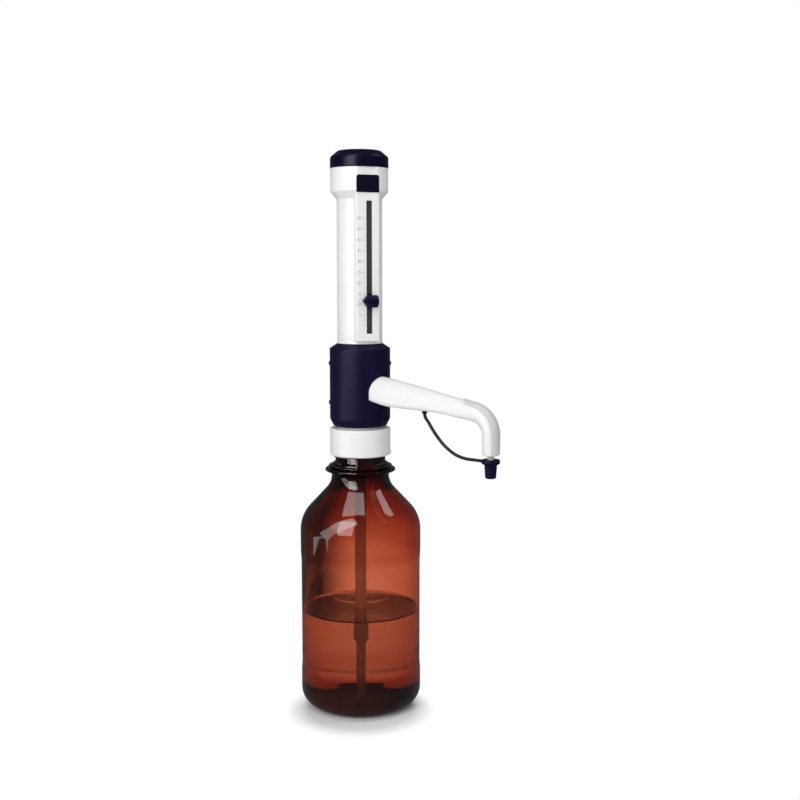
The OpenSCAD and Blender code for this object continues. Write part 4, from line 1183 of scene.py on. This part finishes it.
class DISPENSER_OT_cap(bpy.types.Operator):
    """Dark blue top cap"""

    bl_idname = "dispenser.cap"
    bl_label = "Top cap"

    def execute(self, context):
        z0 = head_top + 0.05
        chamfer_z = z0 + (cap_top - z0) * 0.6
        skirt_r = head_r - 4.4
        skirt_foot = z0 - 4.4
        outline = [(0, cap_top - 2.6), (16.1, cap_top - 2.6), (skirt_r - 2, chamfer_z - 0.6),
                   (skirt_r - 2, skirt_foot, 0.3), (skirt_r, skirt_foot, 0.3), (skirt_r, z0),
                   (cap_r, z0, 0.4), (cap_r, chamfer_z, 1.2), (17.6, cap_top - 0.6, 0.9),
                   (8.8, cap_top - 0.15, 2), (0, cap_top)]
        piece(lathe(outline, steps=144, closed=False, segments=4), "cap_shell", "cover", "navy_plastic",
              ["top_cap"], finish="cap_blue")
        return {"FINISHED"}


# Pieces inside

class DISPENSER_OT_tubes(bpy.types.Operator):
    """Filling tubes and the guard round the cylinder"""

    bl_idname = "dispenser.tubes"
    bl_label = "Tubes"

    def execute(self, context):
        low_z, high_z = low("filling_tube_upper").z, high("filling_tube_upper").z
        upper = lathe([(3.05, low_z, 0.2), (4.75, low_z, 0.4), (4.75, high_z), (3.05, high_z)], steps=64)
        piece(upper, "upper_tube", "instrument", "clear_tube", ["filling_tube_upper"])

        low_z, high_z = low("filling_tube_lower").z, high("filling_tube_lower").z
        lower = lathe([(2.1, low_z - 3), (3, low_z - 3), (3, high_z, 0.2), (2.1, high_z, 0.2)], steps=48)
        slant = math.radians(35)
        rim = slice_off(lower, (0, 0, low_z + 3 * math.tan(slant)), (math.sin(slant), 0, -math.cos(slant)))
        bmesh.ops.bridge_loops(lower, edges=rim)
        bmesh.ops.recalc_face_normals(lower, faces=lower.faces)
        piece(lower, "lower_tube", "tube_extension", "clear_tube", ["filling_tube_lower"])

        foot = low("barrel_guard").z
        top = high("barrel_guard").z
        guard = lathe([(15.6, foot), (16.6, foot), (16.6, top, 0.3), (15.6, top, 0.2)], steps=128)
        piece(guard, "guard_tube", "instrument", "white_plastic", ["barrel_guard"])
        return {"FINISHED"}


# Nodes of the model that keep their own shape, by their finish
kept_nodes = {
    "black_rubber": ("mouth_gasket", "piston_seals"),
    "ivory_plastic": ("swivel_hub", "swivel_retainer", "valve_block", "discharge_valve", "discharge_plug",
                      "tube_nut", "barrel_gasket", "rod_guide", "discharge_nut", "piston"),
    "ceramic_parts": ("suction_seat", "piston_rod"),
    "valve_balls": ("suction_ball", "discharge_ball"),
    "white_plastic": ("guard_flange",),
    "clear_glass": ("glass_barrel",),
    "dark_grey_plastic": ("barrel_clamp_nut", "calibration_nut"),
    "clear_tube": ("discharge_tube",),
    "pointer_blue": ("volume_slider",),
    "steel": ("rod_nut",),
}


class DISPENSER_OT_inside(bpy.types.Operator):
    """Finishes for the pieces inside that keep the model's shape"""

    bl_idname = "dispenser.inside"
    bl_label = "Pieces inside"

    def execute(self, context):
        for slot, names in kept_nodes.items():
            for name in names:
                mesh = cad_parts[name].data
                mesh.materials.clear()
                mesh.materials.append(finish_of(slot))
        return {"FINISHED"}


class DISPENSER_PT_sidebar(bpy.types.Panel):
    """Builds the dispenser piece by piece"""

    bl_label = "Bottle-top dispenser"
    bl_idname = "DISPENSER_PT_sidebar"
    bl_space_type = "VIEW_3D"
    bl_region_type = "UI"
    bl_category = "Dispenser"

    def draw(self, context):
        layout = self.layout
        for group in groups:
            box = layout.box()
            settings = getattr(context.scene, group)
            for name in settings.bl_rna.properties.keys():
                if name not in ("rna_type", "name"):
                    box.prop(settings, name)
        for operator in operators:
            layout.operator(operator.bl_idname)


groups = {
    "dispenser_bottle": DISPENSER_PG_bottle,
    "dispenser_finishes": DISPENSER_PG_finishes,
    "dispenser_scale": DISPENSER_PG_scale,
    "dispenser_stage": DISPENSER_PG_stage,
}

# The order in which the pieces are made
operators = (
    DISPENSER_OT_stage,
    DISPENSER_OT_tether,
    DISPENSER_OT_bottle,
    DISPENSER_OT_collar,
    DISPENSER_OT_housing,
    DISPENSER_OT_arm,
    DISPENSER_OT_nozzle,
    DISPENSER_OT_sleeve,
    DISPENSER_OT_scale,
    DISPENSER_OT_pointer,
    DISPENSER_OT_head,
    DISPENSER_OT_cap,
    DISPENSER_OT_tubes,
    DISPENSER_OT_inside,
)


def register():
    for name, group in groups.items():
        bpy.utils.register_class(group)
        setattr(bpy.types.Scene, name, PointerProperty(type=group))
    for operator in operators:
        bpy.utils.register_class(operator)
    bpy.utils.register_class(DISPENSER_PT_sidebar)


def unregister():
    bpy.utils.unregister_class(DISPENSER_PT_sidebar)
    for operator in reversed(operators):
        bpy.utils.unregister_class(operator)
    for name, group in groups.items():
        delattr(bpy.types.Scene, name)
        bpy.utils.unregister_class(group)


def main():
    """Makes every piece in order."""
    register()
    for operator in operators:
        name = operator.bl_idname.split(".")[1]
        getattr(bpy.ops.dispenser, name)()


if __name__ == "__main__":
    main()
